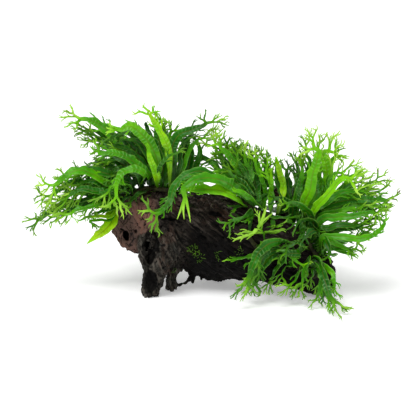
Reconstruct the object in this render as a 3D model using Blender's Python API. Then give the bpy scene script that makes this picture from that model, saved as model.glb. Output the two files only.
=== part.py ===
"""Java fern with crested fronds on a stump of driftwood. Sizes are in millimetres until a mesh is made."""

import math
import random

import bmesh
import bpy
from mathutils import Matrix, Vector, noise
from mathutils.bvhtree import BVHTree

MM = 0.001
GAP = 0.4  # clearance where one piece meets another
VIEW_TILT = math.radians(15)  # heights in the tables are those an eye sees that looks down by this
MIDDLE = 27  # how far behind the front foot the origin lies

# Runs of wood: across, height as seen, distance behind the foot, half depth, half height
LOG = [
    (-101, 73, 44, 9, 12),
    (-92, 73, 42, 19, 22),
    (-72, 72, 39, 28, 30),
    (-48, 70, 38, 34, 37),
    (-22, 66, 37, 36, 41),
    (8, 60, 34, 36, 42),
    (40, 52, 28, 34, 37),
    (72, 41, 20, 28, 30),
    (98, 27, 13, 22, 24),
    (114, 18, 9, 17, 19),
    (121, 16, 7, 12, 15),
]
LOG_GRAIN = 1.7
LOG_SEED = 3.0
# Knobs and hollows of the log: share along, angle (0 front, 90 top), height, spread along, spread round
LOG_LUMPS = [
    (0.13, 88, 5, 0.04, 24),
    (0.20, 96, 4, 0.03, 20),
    (0.27, 88, 6, 0.05, 24),
    (0.30, 190, 6, 0.08, 40),
    (0.36, 92, -3, 0.04, 26),
    (0.38, 300, -7, 0.05, 26),
    (0.44, 30, 4, 0.12, 14),
    (0.46, 5, -5, 0.10, 20),
    (0.47, 275, 5, 0.02, 22),
    (0.50, 283, 4, 0.02, 16),
    (0.55, 275, 4, 0.015, 20),
    (0.56, 62, 4, 0.10, 16),
    (0.62, 20, 4, 0.10, 24),
    (0.66, 150, 6, 0.08, 30),
    (0.80, 90, 3, 0.05, 30),
    (0.93, 50, 2.5, 0.03, 24),
    (0.97, 330, 2, 0.03, 24),
]
FOOT = [
    (-33, 97, 24, 9, 12),
    (-36, 83, 15, 13, 16),
    (-40, 67, 10, 14, 18),
    (-45, 50, 6, 14, 16),
    (-50, 36, 4, 14, 14),
    (-56, 22, 4, 13, 11),
    (-59, 10, 5, 11, 10),
    (-60, -3, 5, 9, 8),
]
SHARD = [
    (-60, 72, 18, 6, 4),
    (-65, 62, 11, 6, 4),
    (-68, 50, 7, 6, 3.6),
    (-67, 37, 4, 5, 3.2),
    (-63, 27, 2, 4, 3),
]
SECOND_ROOT = [(-30, 46, 24, 9, 9), (-35, 32, 20, 8, 7.5), (-38, 19, 21, 7, 6), (-39, 5, 26, 6, 6)]
LOOP_ROOT = [(-42, 8, 24, 2.4, 2.2), (-31, 11, 22, 2.4, 2.2), (-22, 16, 23, 2.6, 2.4), (-18, 28, 30, 3, 3)]
REAR_ROOT = [(0, 46, 48, 12, 12), (4, 32, 54, 10, 10), (8, 22, 58, 8, 8), (10, 12, 60, 8, 8)]
BACK_BRANCH = [
    (83, 52, 34, 8, 8),
    (79, 74, 42, 7, 7),
    (74, 92, 47, 5.5, 6),
    (69, 104, 49, 6.5, 7),
    (66, 109, 50, 5, 5),
]
# The broken left end: a point on its face and the way it looks, front and left
END_POINT = (-74, 72, 24)
END_LOOKS = (-0.68, -0.73, 0.05)
# Rotted holes: across, height as seen, distance behind the foot, and radii across, in depth and in height
HOLES = {
    "end_hole": (-85, 62, 34, 3.6, 9, 5),
    "end_pit": (-75, 66, 22, 1.8, 6, 1.6),
    "slit": (-59, 50, 12, 6, 14, 16),
    "top_slot": (6, 84, 3, 7, 6, 2.2),
}
FOOT_END = (-58, 17, -8, 7, 7, 12)

RHIZOME_RADIUS = 2.6
# Creeping stems on the wood: share along the log and angle round it
RHIZOMES = {
    "left": [(0.08, 98), (0.15, 74), (0.22, 90), (0.29, 76), (0.34, 84)],
    "middle": [(0.46, 98), (0.52, 84), (0.58, 72), (0.62, 64), (0.655, 74)],
    "right": [(0.68, 104), (0.73, 84), (0.77, 62), (0.82, 46)],
    "low": [(0.60, 26), (0.66, 8), (0.73, 16), (0.80, 2), (0.86, 12)],
}

THICKNESS = 0.8
STALK = 1.8  # width of a stalk
TIP = 1.0  # width of a crest's tip
BLADE_STEPS = 8
MOST_LEAN = 24  # degrees that a frond may be leaned to clear its neighbours
# The way the upper faces of blades look, on the fronds in front and on those behind the wood
FRONT_FACING = Vector((0, -0.75, 0.66))
UP_FACING = Vector((0, -0.3, 0.95))
# Fronds: name, stem and share along it, blade width, turn of the blade, course, tips of the crest.
# A course runs across, height as seen and distance behind the foot; a tip is across and height.
FRONDS = [
    ("left_01", "left", 0.30, 11, 0,
     [(-68, 135, 50), (-88, 152, 55), (-105, 168, 58), (-115, 175, 58), (-123, 178, 58)],
     [(-140, 194), (-148, 186), (-153, 180), (-147, 171), (-137, 166)]),
    ("left_02", "left", 0.12, 8, 20,
     [(-84, 128, 62), (-100, 145, 66), (-110, 157, 68)],
     [(-126, 167), (-137, 170), (-136, 161), (-131, 150)]),
    ("left_03", "left", 0.62, 11, 0,
     [(-51, 130, 28), (-58, 150, 25), (-68, 162, 23), (-78, 169, 22), (-86, 166, 21)],
     [(-101, 173), (-98, 168), (-103, 163)]),
    ("left_04", "left", 0.50, 10, 0,
     [(-58, 126, 35), (-69, 141, 36), (-79, 151, 36), (-88, 159, 35), (-96, 159, 34)],
     [(-106, 155), (-104, 149), (-98, 146)]),
    ("left_06", "left", 0.56, 9, 10,
     [(-60, 121, 22), (-70, 130, 18), (-82, 139, 15), (-95, 143, 13), (-107, 142, 12)],
     [(-114, 156), (-118, 150), (-118, 140), (-105, 154)]),
    ("left_07", "left", 0.36, 9, 0,
     [(-74, 119, 34), (-83, 129, 30), (-92, 135, 28), (-99, 136, 27)],
     [(-117, 139), (-114, 131), (-111, 125), (-104, 126)]),
    ("left_08", "left", 0.22, 11, 10,
     [(-90, 106, 22), (-102, 114, 18), (-115, 122, 15), (-128, 126, 12), (-140, 122, 10), (-148, 115, 9)],
     [(-168, 123), (-172, 110), (-167, 98), (-161, 88), (-151, 97)]),
    ("left_09", "left", 0.04, 10, 0,
     [(-103, 103, 40), (-114, 98, 38), (-130, 93, 36), (-148, 92, 33), (-160, 86, 31), (-168, 80, 30)],
     [(-175, 84), (-188, 76), (-185, 67), (-179, 60)]),
    ("left_10", "left", 0.10, 9, 10,
     [(-96, 96, 14), (-108, 93, 8), (-120, 90, 5), (-132, 87, 3)],
     [(-160, 82), (-153, 75), (-143, 72), (-130, 75)]),
    ("left_13", "left", 0.00, 13, 0,
     [(-98, 76, 22), (-105, 67, 17), (-113, 61, 14)],
     [(-123, 53)]),
    ("left_14", "left", 0.44, 7, 0,
     [(-64, 121, 8), (-73, 127, 0), (-84, 124, -6), (-90, 116, -9), (-91, 108, -10)],
     [(-107, 88), (-99, 89), (-90, 81), (-84, 78), (-76, 82)]),
    ("crown_02", "left", 0.82, 8, 0,
     [(-40, 130, 24), (-41, 147, 20), (-46, 159, 18), (-52, 169, 17), (-57, 177, 16)],
     [(-76, 183), (-66, 190), (-60, 184), (-55, 189), (-49, 181)]),
    ("crown_03", "left", 0.70, 13, 0,
     [(-46, 132, 40), (-48, 144, 42), (-51, 156, 44), (-53, 166, 45)],
     [(-58, 178), (-52, 180), (-46, 178)]),
    ("crown_04", "left", 0.58, 9, 0,
     [(-56, 140, 56), (-60, 157, 60), (-63, 168, 62)],
     [(-65, 176)]),
    ("crown_05", "left", 0.76, 8, 20,
     [(-43, 137, 58), (-42, 155, 66), (-41, 163, 68)],
     [(-46, 180), (-38, 178), (-31, 173), (-27, 167)]),
    ("crown_06", "left", 0.90, 10, 0,
     [(-36, 136, 32), (-37, 151, 33), (-30, 162, 34), (-19, 166, 35), (-8, 170, 36)],
     [(-14, 180), (-5, 186), (10, 183), (18, 178), (19, 171)]),
    ("crown_07", "left", 0.96, 9, 0,
     [(-22, 128, 44), (-20, 145, 48), (-25, 156, 50)],
     [(-35, 158)]),
    ("middle_00", "middle", 0.10, 7, 0,
     [(12, 121, 48), (5, 132, 51), (-5, 139, 53), (-17, 139, 54)],
     [(-42, 141), (-40, 131), (-34, 125), (-25, 127)]),
    ("middle_01", "middle", 0.40, 9, 10,
     [(24, 108, 18), (5, 119, 8), (-10, 125, 3), (-24, 120, 0), (-35, 109, -4), (-39, 96, -7),
      (-47, 86, -9)],
     [(-66, 101), (-70, 83), (-62, 75), (-59, 66), (-51, 60)]),
    ("middle_02", "middle", 0.56, 12, 0,
     [(30, 104, 8), (15, 114, -3), (0, 118, -9), (-14, 116, -13), (-24, 110, -16)],
     [(-32, 78), (-25, 78), (-19, 75)]),
    ("middle_04", "middle", 0.78, 9, 0,
     [(50, 90, 0), (41, 97, -9), (31, 104, -14)],
     [(21, 108)]),
    ("middle_05", "middle", 0.22, 8, 0,
     [(28, 112, 30), (20, 120, 28), (13, 126, 27)],
     [(3, 130), (1, 124)]),
    ("middle_06", "middle", 0.48, 9, 0,
     [(38, 112, 32), (30, 127, 32), (20, 140, 31), (12, 147, 30)],
     [(-3, 151), (0, 160), (6, 164), (16, 166)]),
    ("middle_07", "middle", 0.62, 10, 0,
     [(46, 112, 40), (38, 129, 42), (30, 143, 43), (24, 149, 44)],
     [(14, 151), (20, 157), (30, 159)]),
    ("middle_08", "middle", 0.30, 7, 10,
     [(20, 120, 62), (14, 133, 68), (11, 146, 72)],
     [(5, 152), (8, 158), (15, 156)]),
    ("middle_09", "middle", 0.72, 9, 0,
     [(52, 110, 46), (49, 126, 52), (46, 137, 55)],
     [(40, 150), (47, 153), (54, 151), (59, 144)]),
    ("middle_11", "middle", 0.98, 7, 0,
     [(73, 108, 28), (70, 122, 27), (67, 132, 26)],
     [(64, 140)]),
    ("right_01", "right", 0.06, 8, 0,
     [(80, 97, 34), (79, 112, 38), (77, 122, 40)],
     [(70, 136), (77, 138), (84, 132)]),
    ("right_03", "right", 0.36, 11, 0,
     [(92, 90, 10), (98, 106, 6), (100, 120, 4), (104, 134, 3), (106, 143, 3)],
     [(91, 160), (94, 167), (103, 169), (89, 148), (86, 139)]),
    ("right_04", "right", 0.46, 11, 0,
     [(106, 84, 26), (115, 102, 28), (117, 118, 29), (115, 133, 29), (112, 143, 29)],
     [(116, 164), (129, 166), (133, 156), (138, 138), (133, 131)]),
    ("right_05", "right", 0.58, 7, 0,
     [(101, 84, 4), (114, 101, -3), (124, 114, -8), (130, 118, -10)],
     [(147, 129), (156, 124), (142, 108), (146, 99)]),
    ("right_06", "right", 0.52, 4, 0,
     [(120, 92, 22), (146, 104, 28), (160, 114, 30)],
     [(168, 129), (178, 125), (181, 117), (175, 110)]),
    ("right_07", "right", 0.64, 9, 10,
     [(108, 86, 12), (124, 94, 13), (140, 97, 12), (156, 97, 11), (170, 97, 10)],
     [(188, 107), (185, 98), (181, 90), (174, 84)]),
    ("right_08", "right", 0.74, 8, 10,
     [(108, 76, 1), (124, 80, -4), (140, 81, -7), (156, 85, -10)],
     [(177, 90), (170, 76), (162, 74)]),
    ("right_09", "right", 0.92, 7, 0,
     [(110, 60, -13), (130, 61, -19), (147, 59, -23), (161, 65, -27), (168, 73, -29)],
     [(162, 82), (173, 81)]),
    ("right_10", "right", 0.82, 9, 0,
     [(111, 52, 0), (123, 58, 0), (140, 60, -2)],
     [(159, 65), (158, 57), (153, 47), (145, 51)]),
    ("right_11", "right", 0.98, 5, 0,
     [(115, 49, 7), (128, 46, 9), (139, 43, 10)],
     [(148, 38)]),
    ("low_01", "low", 0.56, 10, 0,
     [(79, 54, -22), (67, 57, -29), (56, 54, -33), (47, 46, -36), (42, 36, -38), (39, 26, -39)],
     [(25, 12), (20, 1), (29, -2), (47, 4)]),
    ("low_02", "low", 0.44, 9, 0,
     [(66, 46, -17), (57, 39, -20), (50, 29, -21), (46, 19, -22)],
     [(35, 12), (40, 3), (49, 3)]),
    ("low_04", "low", 0.14, 5, 0,
     [(52, 57, -22), (53, 66, -28)],
     [(7, 75), (24, 63), (42, 89), (53, 90), (75, 76)]),
    ("low_05", "low", 0.72, 5, 0,
     [(90, 33, -22), (84, 20, -29)],
     [(63, 13), (65, 4), (74, 3), (82, 2)]),
    ("low_06", "low", 0.92, 11, 0,
     [(104, 38, -18), (110, 37, -31), (115, 20, -42), (118, 5, -52)],
     [(116, -14), (126, -18), (134, -12), (140, -9)]),
    ("low_07", "low", 0.84, 6, 0,
     [(104, 35, -21), (108, 29, -33), (105, 16, -41)],
     [(94, -2), (108, -1)]),
]
# Fronds that lean away behind the wood, with true heights
REAR_FRONDS = [
    ("rear_01", "left", 0.18, 11, 0,
     [(-92, 118, 66), (-108, 120, 88), (-118, 108, 106)],
     [(-132, 100, 116), (-126, 90, 122), (-114, 88, 122)]),
    ("rear_02", "left", 0.48, 11, 0,
     [(-66, 122, 70), (-72, 126, 94), (-76, 112, 114)],
     [(-88, 100, 124), (-78, 90, 128), (-68, 96, 128)]),
    ("rear_03", "left", 0.88, 10, 0,
     [(-34, 122, 68), (-30, 124, 92), (-26, 108, 110)],
     [(-38, 92, 120), (-28, 84, 124), (-16, 92, 120)]),
    ("rear_04", "middle", 0.16, 10, 0,
     [(14, 112, 62), (14, 112, 86), (12, 94, 104)],
     [(0, 80, 112), (10, 70, 116), (22, 78, 112)]),
    ("rear_05", "middle", 0.98, 10, 0,
     [(66, 92, 52), (62, 96, 78), (60, 78, 98)],
     [(48, 64, 106), (58, 54, 110), (70, 62, 106)]),
    ("rear_06", "right", 0.26, 10, 0,
     [(98, 84, 44), (108, 86, 66), (114, 72, 84)],
     [(106, 54, 92), (116, 48, 96), (126, 58, 92)]),
]


def clear_scene():
    for thing in list(bpy.data.objects):
        bpy.data.objects.remove(thing)


def seen(across, up, back):
    """A place read off the front view, as a point of the object."""
    height = (up - back * math.sin(VIEW_TILT)) / math.cos(VIEW_TILT)
    return Vector((across, back - MIDDLE, height))


def placed(across, height, back):
    """A place given by its true height."""
    return Vector((across, back - MIDDLE, height))


def along(rows, share):
    """The row at a share of the way, on a smooth curve through the given rows."""
    place = min(max(share, 0.0), 1.0) * (len(rows) - 1)
    index = min(int(place), len(rows) - 2)
    t = place - index
    before, start = rows[max(index - 1, 0)], rows[index]
    end, after = rows[index + 1], rows[min(index + 2, len(rows) - 1)]
    return [
        0.5 * (2 * b + (c - a) * t + (2 * a - 5 * b + 4 * c - d) * t**2 + (3 * b - a - 3 * c + d) * t**3)
        for a, b, c, d in zip(before, start, end, after)
    ]


def heading_at(rows, share, step=0.01):
    ahead = seen(*along(rows, min(share + step, 1))[:3])
    behind = seen(*along(rows, max(share - step, 0))[:3])
    return (ahead - behind).normalized()


def wood_surface(rows, share, angle, lumps, grain, seed, swell):
    """A point on the skin of a run of wood, and the way out of it."""
    across, up, back, half_depth, half_height = along(rows, share)
    centre, heading = seen(across, up, back), heading_at(rows, share)
    front = Vector((0, -1, 0))
    towards = (front - front.project(heading)).normalized()
    upward = towards.cross(heading).normalized()
    rim = towards * math.cos(angle) * half_depth + upward * math.sin(angle) * half_height
    out = rim.normalized()
    sway = noise.noise(Vector((share * 5, seed, angle * 0.6)))
    rise = 0.5 * math.sin(8 * angle + 4 * sway + seed) + 0.35 * math.sin(13 * angle - 5 * sway + 2 * seed)
    rise += 1.6 * noise.noise((centre + rim) * 0.035 + Vector((seed, 0, 0)))
    rise += 0.9 * noise.noise((centre + rim) * 0.12 + Vector((0, seed, 0)))
    rise *= grain
    for lump_share, lump_angle, height, spread, spread_round in lumps:
        turn = (math.degrees(angle) - lump_angle + 180) % 360 - 180
        rise += height * math.exp(-(((share - lump_share) / spread) ** 2) - (turn / spread_round) ** 2)
    return centre + rim + out * (rise + swell), out


def wood_run(name, rows, rings, sides, lumps=(), grain=1.0, seed=1.0, swell=0.0):
    """A closed, knotty run of wood. A swell makes it fatter all over, to clear its neighbours."""
    work = bmesh.new()
    turn = work.verts.layers.float.new("turn")
    ring = bmesh.ops.create_circle(work, cap_ends=False, segments=sides, radius=1)["verts"]
    for vert in ring:
        vert[turn] = math.atan2(vert.co.y, vert.co.x) % (2 * math.pi)
    edges = work.edges[:]
    first_edges = edges
    last = rings - 1
    for index in range(rings):
        if index:
            made = bmesh.ops.extrude_edge_only(work, edges=edges)["geom"]
            ring = [item for item in made if isinstance(item, bmesh.types.BMVert)]
            edges = [item for item in made if isinstance(item, bmesh.types.BMEdge)]
            edges = [edge for edge in edges if edge.verts[0] in ring and edge.verts[1] in ring]
        for vert in ring:
            vert.co = wood_surface(rows, index / last, vert[turn], lumps, grain, seed, swell)[0]
    for rim, share, way in ((first_edges, 0.0, -1), (edges, 1.0, 1)):
        across, up, back, half_depth, half_height = along(rows, share)
        centre, heading = seen(across, up, back), heading_at(rows, share) * way
        bulge = 0.2 * min(half_depth, half_height) + swell
        made = bmesh.ops.extrude_edge_only(work, edges=rim)["geom"]
        inner = [item for item in made if isinstance(item, bmesh.types.BMVert)]
        for vert in inner:
            vert.co = centre.lerp(vert.co, 0.6) + heading * (bulge + noise.noise(vert.co * 0.2))
        closing = [item for item in made if isinstance(item, bmesh.types.BMEdge)]
        closing = [edge for edge in closing if edge.verts[0] in inner and edge.verts[1] in inner]
        bmesh.ops.edgeloop_fill(work, edges=closing)
    bmesh.ops.recalc_face_normals(work, faces=work.faces[:])
    return finished(name, work)


def finished(name, work):
    """Turn work in millimetres into an object in metres."""
    bmesh.ops.triangulate(work, faces=work.faces[:], quad_method="FIXED")
    bmesh.ops.scale(work, vec=(MM, MM, MM), verts=work.verts[:])
    mesh = bpy.data.meshes.new(name)
    work.to_mesh(mesh)
    work.free()
    thing = bpy.data.objects.new(name, mesh)
    bpy.context.scene.collection.objects.link(thing)
    return thing


def slice_off(thing, point, outward, dish=0.0):
    """Cut a piece flat at a plane, keeping what is behind it. A dish sinks the middle of the face."""
    work = bmesh.new()
    work.from_mesh(thing.data)
    everything = work.verts[:] + work.edges[:] + work.faces[:]
    cut = bmesh.ops.bisect_plane(
        work, geom=everything, plane_co=point * MM, plane_no=outward, clear_outer=True
    )["geom_cut"]
    rim = [item for item in cut if isinstance(item, bmesh.types.BMEdge)]
    if rim:
        faces = bmesh.ops.edgeloop_fill(work, edges=rim)["faces"]
        if dish:
            bmesh.ops.poke(work, faces=faces, offset=-dish * MM)
    bmesh.ops.recalc_face_normals(work, faces=work.faces[:])
    work.to_mesh(thing.data)
    work.free()


def hide_cutter(cutter):
    cutter.hide_render = True
    cutter.display_type = "WIRE"


def carve(thing, cutter):
    """Take a hidden cutter out of a piece."""
    hide_cutter(cutter)
    cut = thing.modifiers.new("clear_" + cutter.name, "BOOLEAN")
    cut.operation = "DIFFERENCE"
    cut.solver = "EXACT"
    cut.object = cutter


def hole_cutter(name, across, up, back, wide, deep, tall):
    """A lumpy egg that leaves a rotted hole."""
    work = bmesh.new()
    bmesh.ops.create_icosphere(work, subdivisions=2, radius=1)
    for vert in work.verts:
        rough = 1 + 0.25 * noise.noise(vert.co * 1.7 + Vector((across, up, 0)))
        offset = Vector((vert.co.x * wide, vert.co.y * deep, vert.co.z * tall))
        vert.co = seen(across, up, back) + offset * rough
    return finished(name + "_cutter", work)


def make_wood():
    """The log, its foot, its roots and its back branch, each parted from the log by a hairline."""
    log_shape = dict(rings=25, sides=26, lumps=LOG_LUMPS, grain=LOG_GRAIN, seed=LOG_SEED)
    log = wood_run("driftwood_log", LOG, **log_shape)
    slice_off(log, seen(*END_POINT), END_LOOKS, dish=1.6)
    clearance = wood_run("log_clearance", LOG, swell=GAP, **log_shape)
    slice_off(clearance, seen(*END_POINT) + Vector(END_LOOKS) * GAP, END_LOOKS)
    for name, shape in HOLES.items():
        carve(log, hole_cutter(name, *shape))
    foot_shape = dict(rings=10, sides=14, grain=0.9, seed=7.0)
    foot = wood_run("front_foot", FOOT, **foot_shape)
    foot_clearance = wood_run("foot_clearance", FOOT, swell=GAP, **foot_shape)
    shard = wood_run("slit_shard", SHARD, 7, 8, grain=0.5, seed=2.0)
    second_shape = dict(rings=7, sides=10, grain=0.7, seed=5.0)
    second = wood_run("second_root", SECOND_ROOT, **second_shape)
    second_clearance = wood_run("second_clearance", SECOND_ROOT, swell=GAP, **second_shape)
    loop = wood_run("loop_root", LOOP_ROOT, 8, 6, grain=0.2, seed=4.0)
    rear = wood_run("rear_root", REAR_ROOT, 7, 10, grain=0.8, seed=6.0)
    branch = wood_run("back_branch", BACK_BRANCH, 8, 10, grain=0.7, seed=9.0)
    for thing in (foot, shard, second, loop, rear, branch):
        carve(thing, clearance)
    carve(foot, hole_cutter("foot_end", *FOOT_END))
    carve(shard, foot_clearance)
    carve(second, foot_clearance)
    carve(loop, second_clearance)
    floor = Vector((0, 0, 0))
    for thing in (log, foot, second, rear):
        slice_off(thing, floor, (0, 0, -1))
    return [log, foot, shard, second, loop, rear, branch], clearance


def stem_point(stem, share):
    """The middle of a creeping stem, lying on the log."""
    log_share, angle = along(RHIZOMES[stem], share)
    spot, out = wood_surface(LOG, log_share, math.radians(angle), LOG_LUMPS, LOG_GRAIN, LOG_SEED, 0.0)
    return spot + out * (RHIZOME_RADIUS * 0.7), out


def stem_heading(stem, share, step=0.03):
    ahead, behind = stem_point(stem, min(share + step, 1))[0], stem_point(stem, max(share - step, 0))[0]
    return (ahead - behind).normalized()


def make_rhizome(stem, clearance):
    """A scaly creeping stem, half sunk against the wood."""
    work = bmesh.new()
    rings, sides = 10, 6
    turn = work.verts.layers.float.new("turn")
    ring = bmesh.ops.create_circle(work, cap_ends=True, segments=sides, radius=1)["verts"]
    for vert in ring:
        vert[turn] = math.atan2(vert.co.y, vert.co.x)
    edges = work.edges[:]
    for index in range(rings):
        share = index / (rings - 1)
        if index:
            made = bmesh.ops.extrude_edge_only(work, edges=edges)["geom"]
            ring = [item for item in made if isinstance(item, bmesh.types.BMVert)]
            edges = [item for item in made if isinstance(item, bmesh.types.BMEdge)]
            edges = [edge for edge in edges if edge.verts[0] in ring and edge.verts[1] in ring]
        centre, out = stem_point(stem, share)
        heading = stem_heading(stem, share)
        sideways = heading.cross(out).normalized()
        upward = sideways.cross(heading).normalized()
        radius = RHIZOME_RADIUS * (0.6 if index in (0, rings - 1) else 1 + 0.14 * (-1) ** index)
        for vert in ring:
            vert.co = centre + (sideways * math.cos(vert[turn]) + upward * math.sin(vert[turn])) * radius
    bmesh.ops.edgeloop_fill(work, edges=edges)
    bmesh.ops.recalc_face_normals(work, faces=work.faces[:])
    rhizome = finished("rhizome_" + stem, work)
    carve(rhizome, clearance)
    return rhizome


def blade_half_width(share, width):
    """Half the width of a frond along its spine: a stalk, a long blade, a narrower neck."""
    swell = min(max((share - 0.12) / 0.3, 0.0), 1.0)
    swell = swell * swell * (3 - 2 * swell)
    neck = min(max((share - 0.72) / 0.28, 0.0), 1.0)
    return STALK / 2 + (width - STALK) / 2 * swell * (1 - 0.55 * neck * neck)


def blade_stations(spine, steps, outward, turn):
    """Stations along a spine: share, place, heading and the way the upper face looks, carried smoothly."""
    stations, carried = [], Vector()
    for step in range(steps + 1):
        share = step / steps
        ahead, behind = along(spine, min(share + 0.02, 1)), along(spine, max(share - 0.02, 0))
        heading = (Vector(ahead) - Vector(behind)).normalized()
        pull = (carried + outward * 0.6) if stations else outward
        carried = (pull - pull.project(heading)).normalized()
        normal = Matrix.Rotation(math.radians(turn), 3, heading) @ carried
        stations.append((share, Vector(along(spine, share)), heading, normal))
    return stations


def extend(work, edge, side, centre, across, half):
    """Extrude the end of a ribbon and set its two new corners."""
    made = bmesh.ops.extrude_edge_only(work, edges=[edge])["geom"]
    corners = [item for item in made if isinstance(item, bmesh.types.BMVert)]
    corners.sort(key=lambda vert: vert[side])
    corners[0].co, corners[1].co = centre - across * half, centre + across * half
    corners[0][side], corners[1][side] = -1, 1
    return work.edges.get(corners)


def grow_crest(work, edge, side, heading, normal, tips, half):
    """Run an arm of the crest towards its tips, and fork it where they part."""
    here = (edge.verts[0].co + edge.verts[1].co) / 2
    middle = sum(tips, Vector()) / len(tips)
    end = middle if len(tips) == 1 else here.lerp(middle, 0.4)
    steps = 2 if len(tips) == 1 and (end - here).length > 14 else 1
    reach = (end - here).length
    bend = here + heading * reach * 0.5
    for step in range(1, steps + 1):
        t = step / steps
        centre = here * (1 - t) ** 2 + bend * 2 * t * (1 - t) + end * t * t
        way = ((bend - here) * (1 - t) + (end - bend) * t).normalized()
        across = normal.cross(way).normalized()
        size = TIP / 2 if t == 1 and len(tips) == 1 else half * (1 - 0.3 * t)
        edge = extend(work, edge, side, centre, across, size)
    if len(tips) == 1:
        return
    across = normal.cross(way).normalized()
    tips = sorted(tips, key=lambda tip: (tip - end).normalized().dot(across))
    cut = (len(tips) + 1) // 2
    corners = sorted(edge.verts, key=lambda vert: vert[side])
    centre_vert = bmesh.utils.edge_split(edge, corners[0], 0.5)[1]
    centre_vert[side] = 0
    for corner, group in zip(corners, (tips[:cut], tips[cut:])):
        aim = sum(group, Vector()) / len(group) - end
        way_out = (way + aim.normalized()).normalized()
        arm = work.edges.get((corner, centre_vert))
        grow_crest(work, arm, side, way_out, normal, group, half * 0.62)


def make_frond(name, row, place, tip_place, outward, lean):
    """One frond: a stalk and blade extruded along its course, and a forked crest at its end."""
    stem, share, width, turn, course, tips = row
    centre, out = stem_point(stem, share)
    points = [place(*point) for point in course]
    rise = (points[0] - centre).normalized() + out
    rise = (rise - rise.project(stem_heading(stem, share))).normalized()
    base = centre + rise * (RHIZOME_RADIUS * 1.25 + GAP)
    spine = [base, base + rise * 3 + (points[0] - base).normalized() * 2] + points
    ends = [tip_place(tip, course[-1], number) for number, tip in enumerate(tips)]
    chord = (sum(ends, Vector()) / len(ends) - base).normalized()
    axis = chord.cross(Vector((0, 1, 0))).normalized()
    tilt = Matrix.Rotation(math.radians(lean), 3, axis)
    spine = [base + tilt @ (point - base) for point in spine]
    ends = [base + tilt @ (point - base) for point in ends]
    work = bmesh.new()
    side = work.verts.layers.float.new("side")
    steps = BLADE_STEPS if len(course) > 3 else BLADE_STEPS - 1
    edge = None
    for t, spot, heading, normal in blade_stations(spine, steps, outward, turn):
        across = normal.cross(heading).normalized()
        half = blade_half_width(t, width)
        if edge is None:
            corners = [work.verts.new(spot - across * half), work.verts.new(spot + across * half)]
            corners[0][side], corners[1][side] = -1, 1
            edge = work.edges.new(corners)
        else:
            edge = extend(work, edge, side, spot, across, half)
    grow_crest(work, edge, side, heading, normal, ends, blade_half_width(1, width))
    bmesh.ops.recalc_face_normals(work, faces=work.faces[:])
    frond = finished(name, work)
    thicken = frond.modifiers.new("thickness", "SOLIDIFY")
    thicken.thickness = THICKNESS * MM
    thicken.offset = 0
    return frond


def tip_seen(tip, end, number):
    """A crest tip of a frond seen from the front, a little nearer or further than the crest's root."""
    back = end[2] + 5 * math.sin(2.4 * number + end[0])
    lowest = 1.2
    floor_back = (tip[1] - lowest * math.cos(VIEW_TILT)) / math.sin(VIEW_TILT)
    return seen(tip[0], tip[1], min(back, floor_back))


def tip_placed(tip, end, number):
    return placed(*tip)


def skin_tree(thing):
    """A search tree of a piece as it is finally cut, in millimetres."""
    shaped = thing.evaluated_get(bpy.context.evaluated_depsgraph_get())
    work = bmesh.new()
    work.from_mesh(shaped.to_mesh())
    shaped.to_mesh_clear()
    tree = BVHTree.FromBMesh(work)
    work.free()
    return tree


def make_fronds(others):
    """Every frond, each leaned a little nearer or further until it clears those already there."""
    trees = [skin_tree(thing) for thing in others]
    leans = sorted(range(-MOST_LEAN, MOST_LEAN + 1, 2), key=lambda angle: (abs(angle), -angle))
    fronds = []
    rows = [(row, seen, tip_seen, FRONT_FACING) for row in FRONDS]
    rows += [(row, placed, tip_placed, UP_FACING) for row in REAR_FRONDS]
    for row, *setting in rows:
        name = "frond_" + row[0]
        for lean in leans:
            frond = make_frond(name, row[1:], *setting, lean)
            bpy.context.view_layer.update()
            tree = skin_tree(frond)
            if not any(tree.overlap(other) for other in trees):
                break
            if lean != leans[-1]:
                mesh = frond.data
                bpy.data.objects.remove(frond)
                bpy.data.meshes.remove(mesh)
        trees.append(tree)
        fronds.append(frond)
    return fronds


def paint(thing, colour, roughness):
    material = bpy.data.materials.new(thing.name + "_finish")
    material.use_nodes = True
    shader = material.node_tree.nodes["Principled BSDF"]
    shader.inputs["Base Color"].default_value = (*colour, 1)
    shader.inputs["Roughness"].default_value = roughness
    shader.inputs["Metallic"].default_value = 0
    thing.data.materials.append(material)


def main():
    clear_scene()
    wood, clearance = make_wood()
    rhizomes = [make_rhizome(stem, clearance) for stem in RHIZOMES]
    bpy.context.view_layer.update()
    fronds = make_fronds(wood + rhizomes)
    for thing in wood:
        paint(thing, (0.035, 0.026, 0.021), 0.75)
    for thing in rhizomes:
        paint(thing, (0.05, 0.06, 0.02), 0.7)
    tones = random.Random(5)
    for thing in fronds:
        green = tones.uniform(0.12, 0.26)
        paint(thing, (green * 0.35, green, green * 0.08), 0.4)
    for thing in wood + fronds:
        thing.data.shade_smooth()


main()
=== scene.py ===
import math
import random
from collections import namedtuple

import bmesh
import bpy
import numpy as np
from mathutils import Matrix, Vector, noise
from mathutils.bvhtree import BVHTree
from mathutils.kdtree import KDTree


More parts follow.
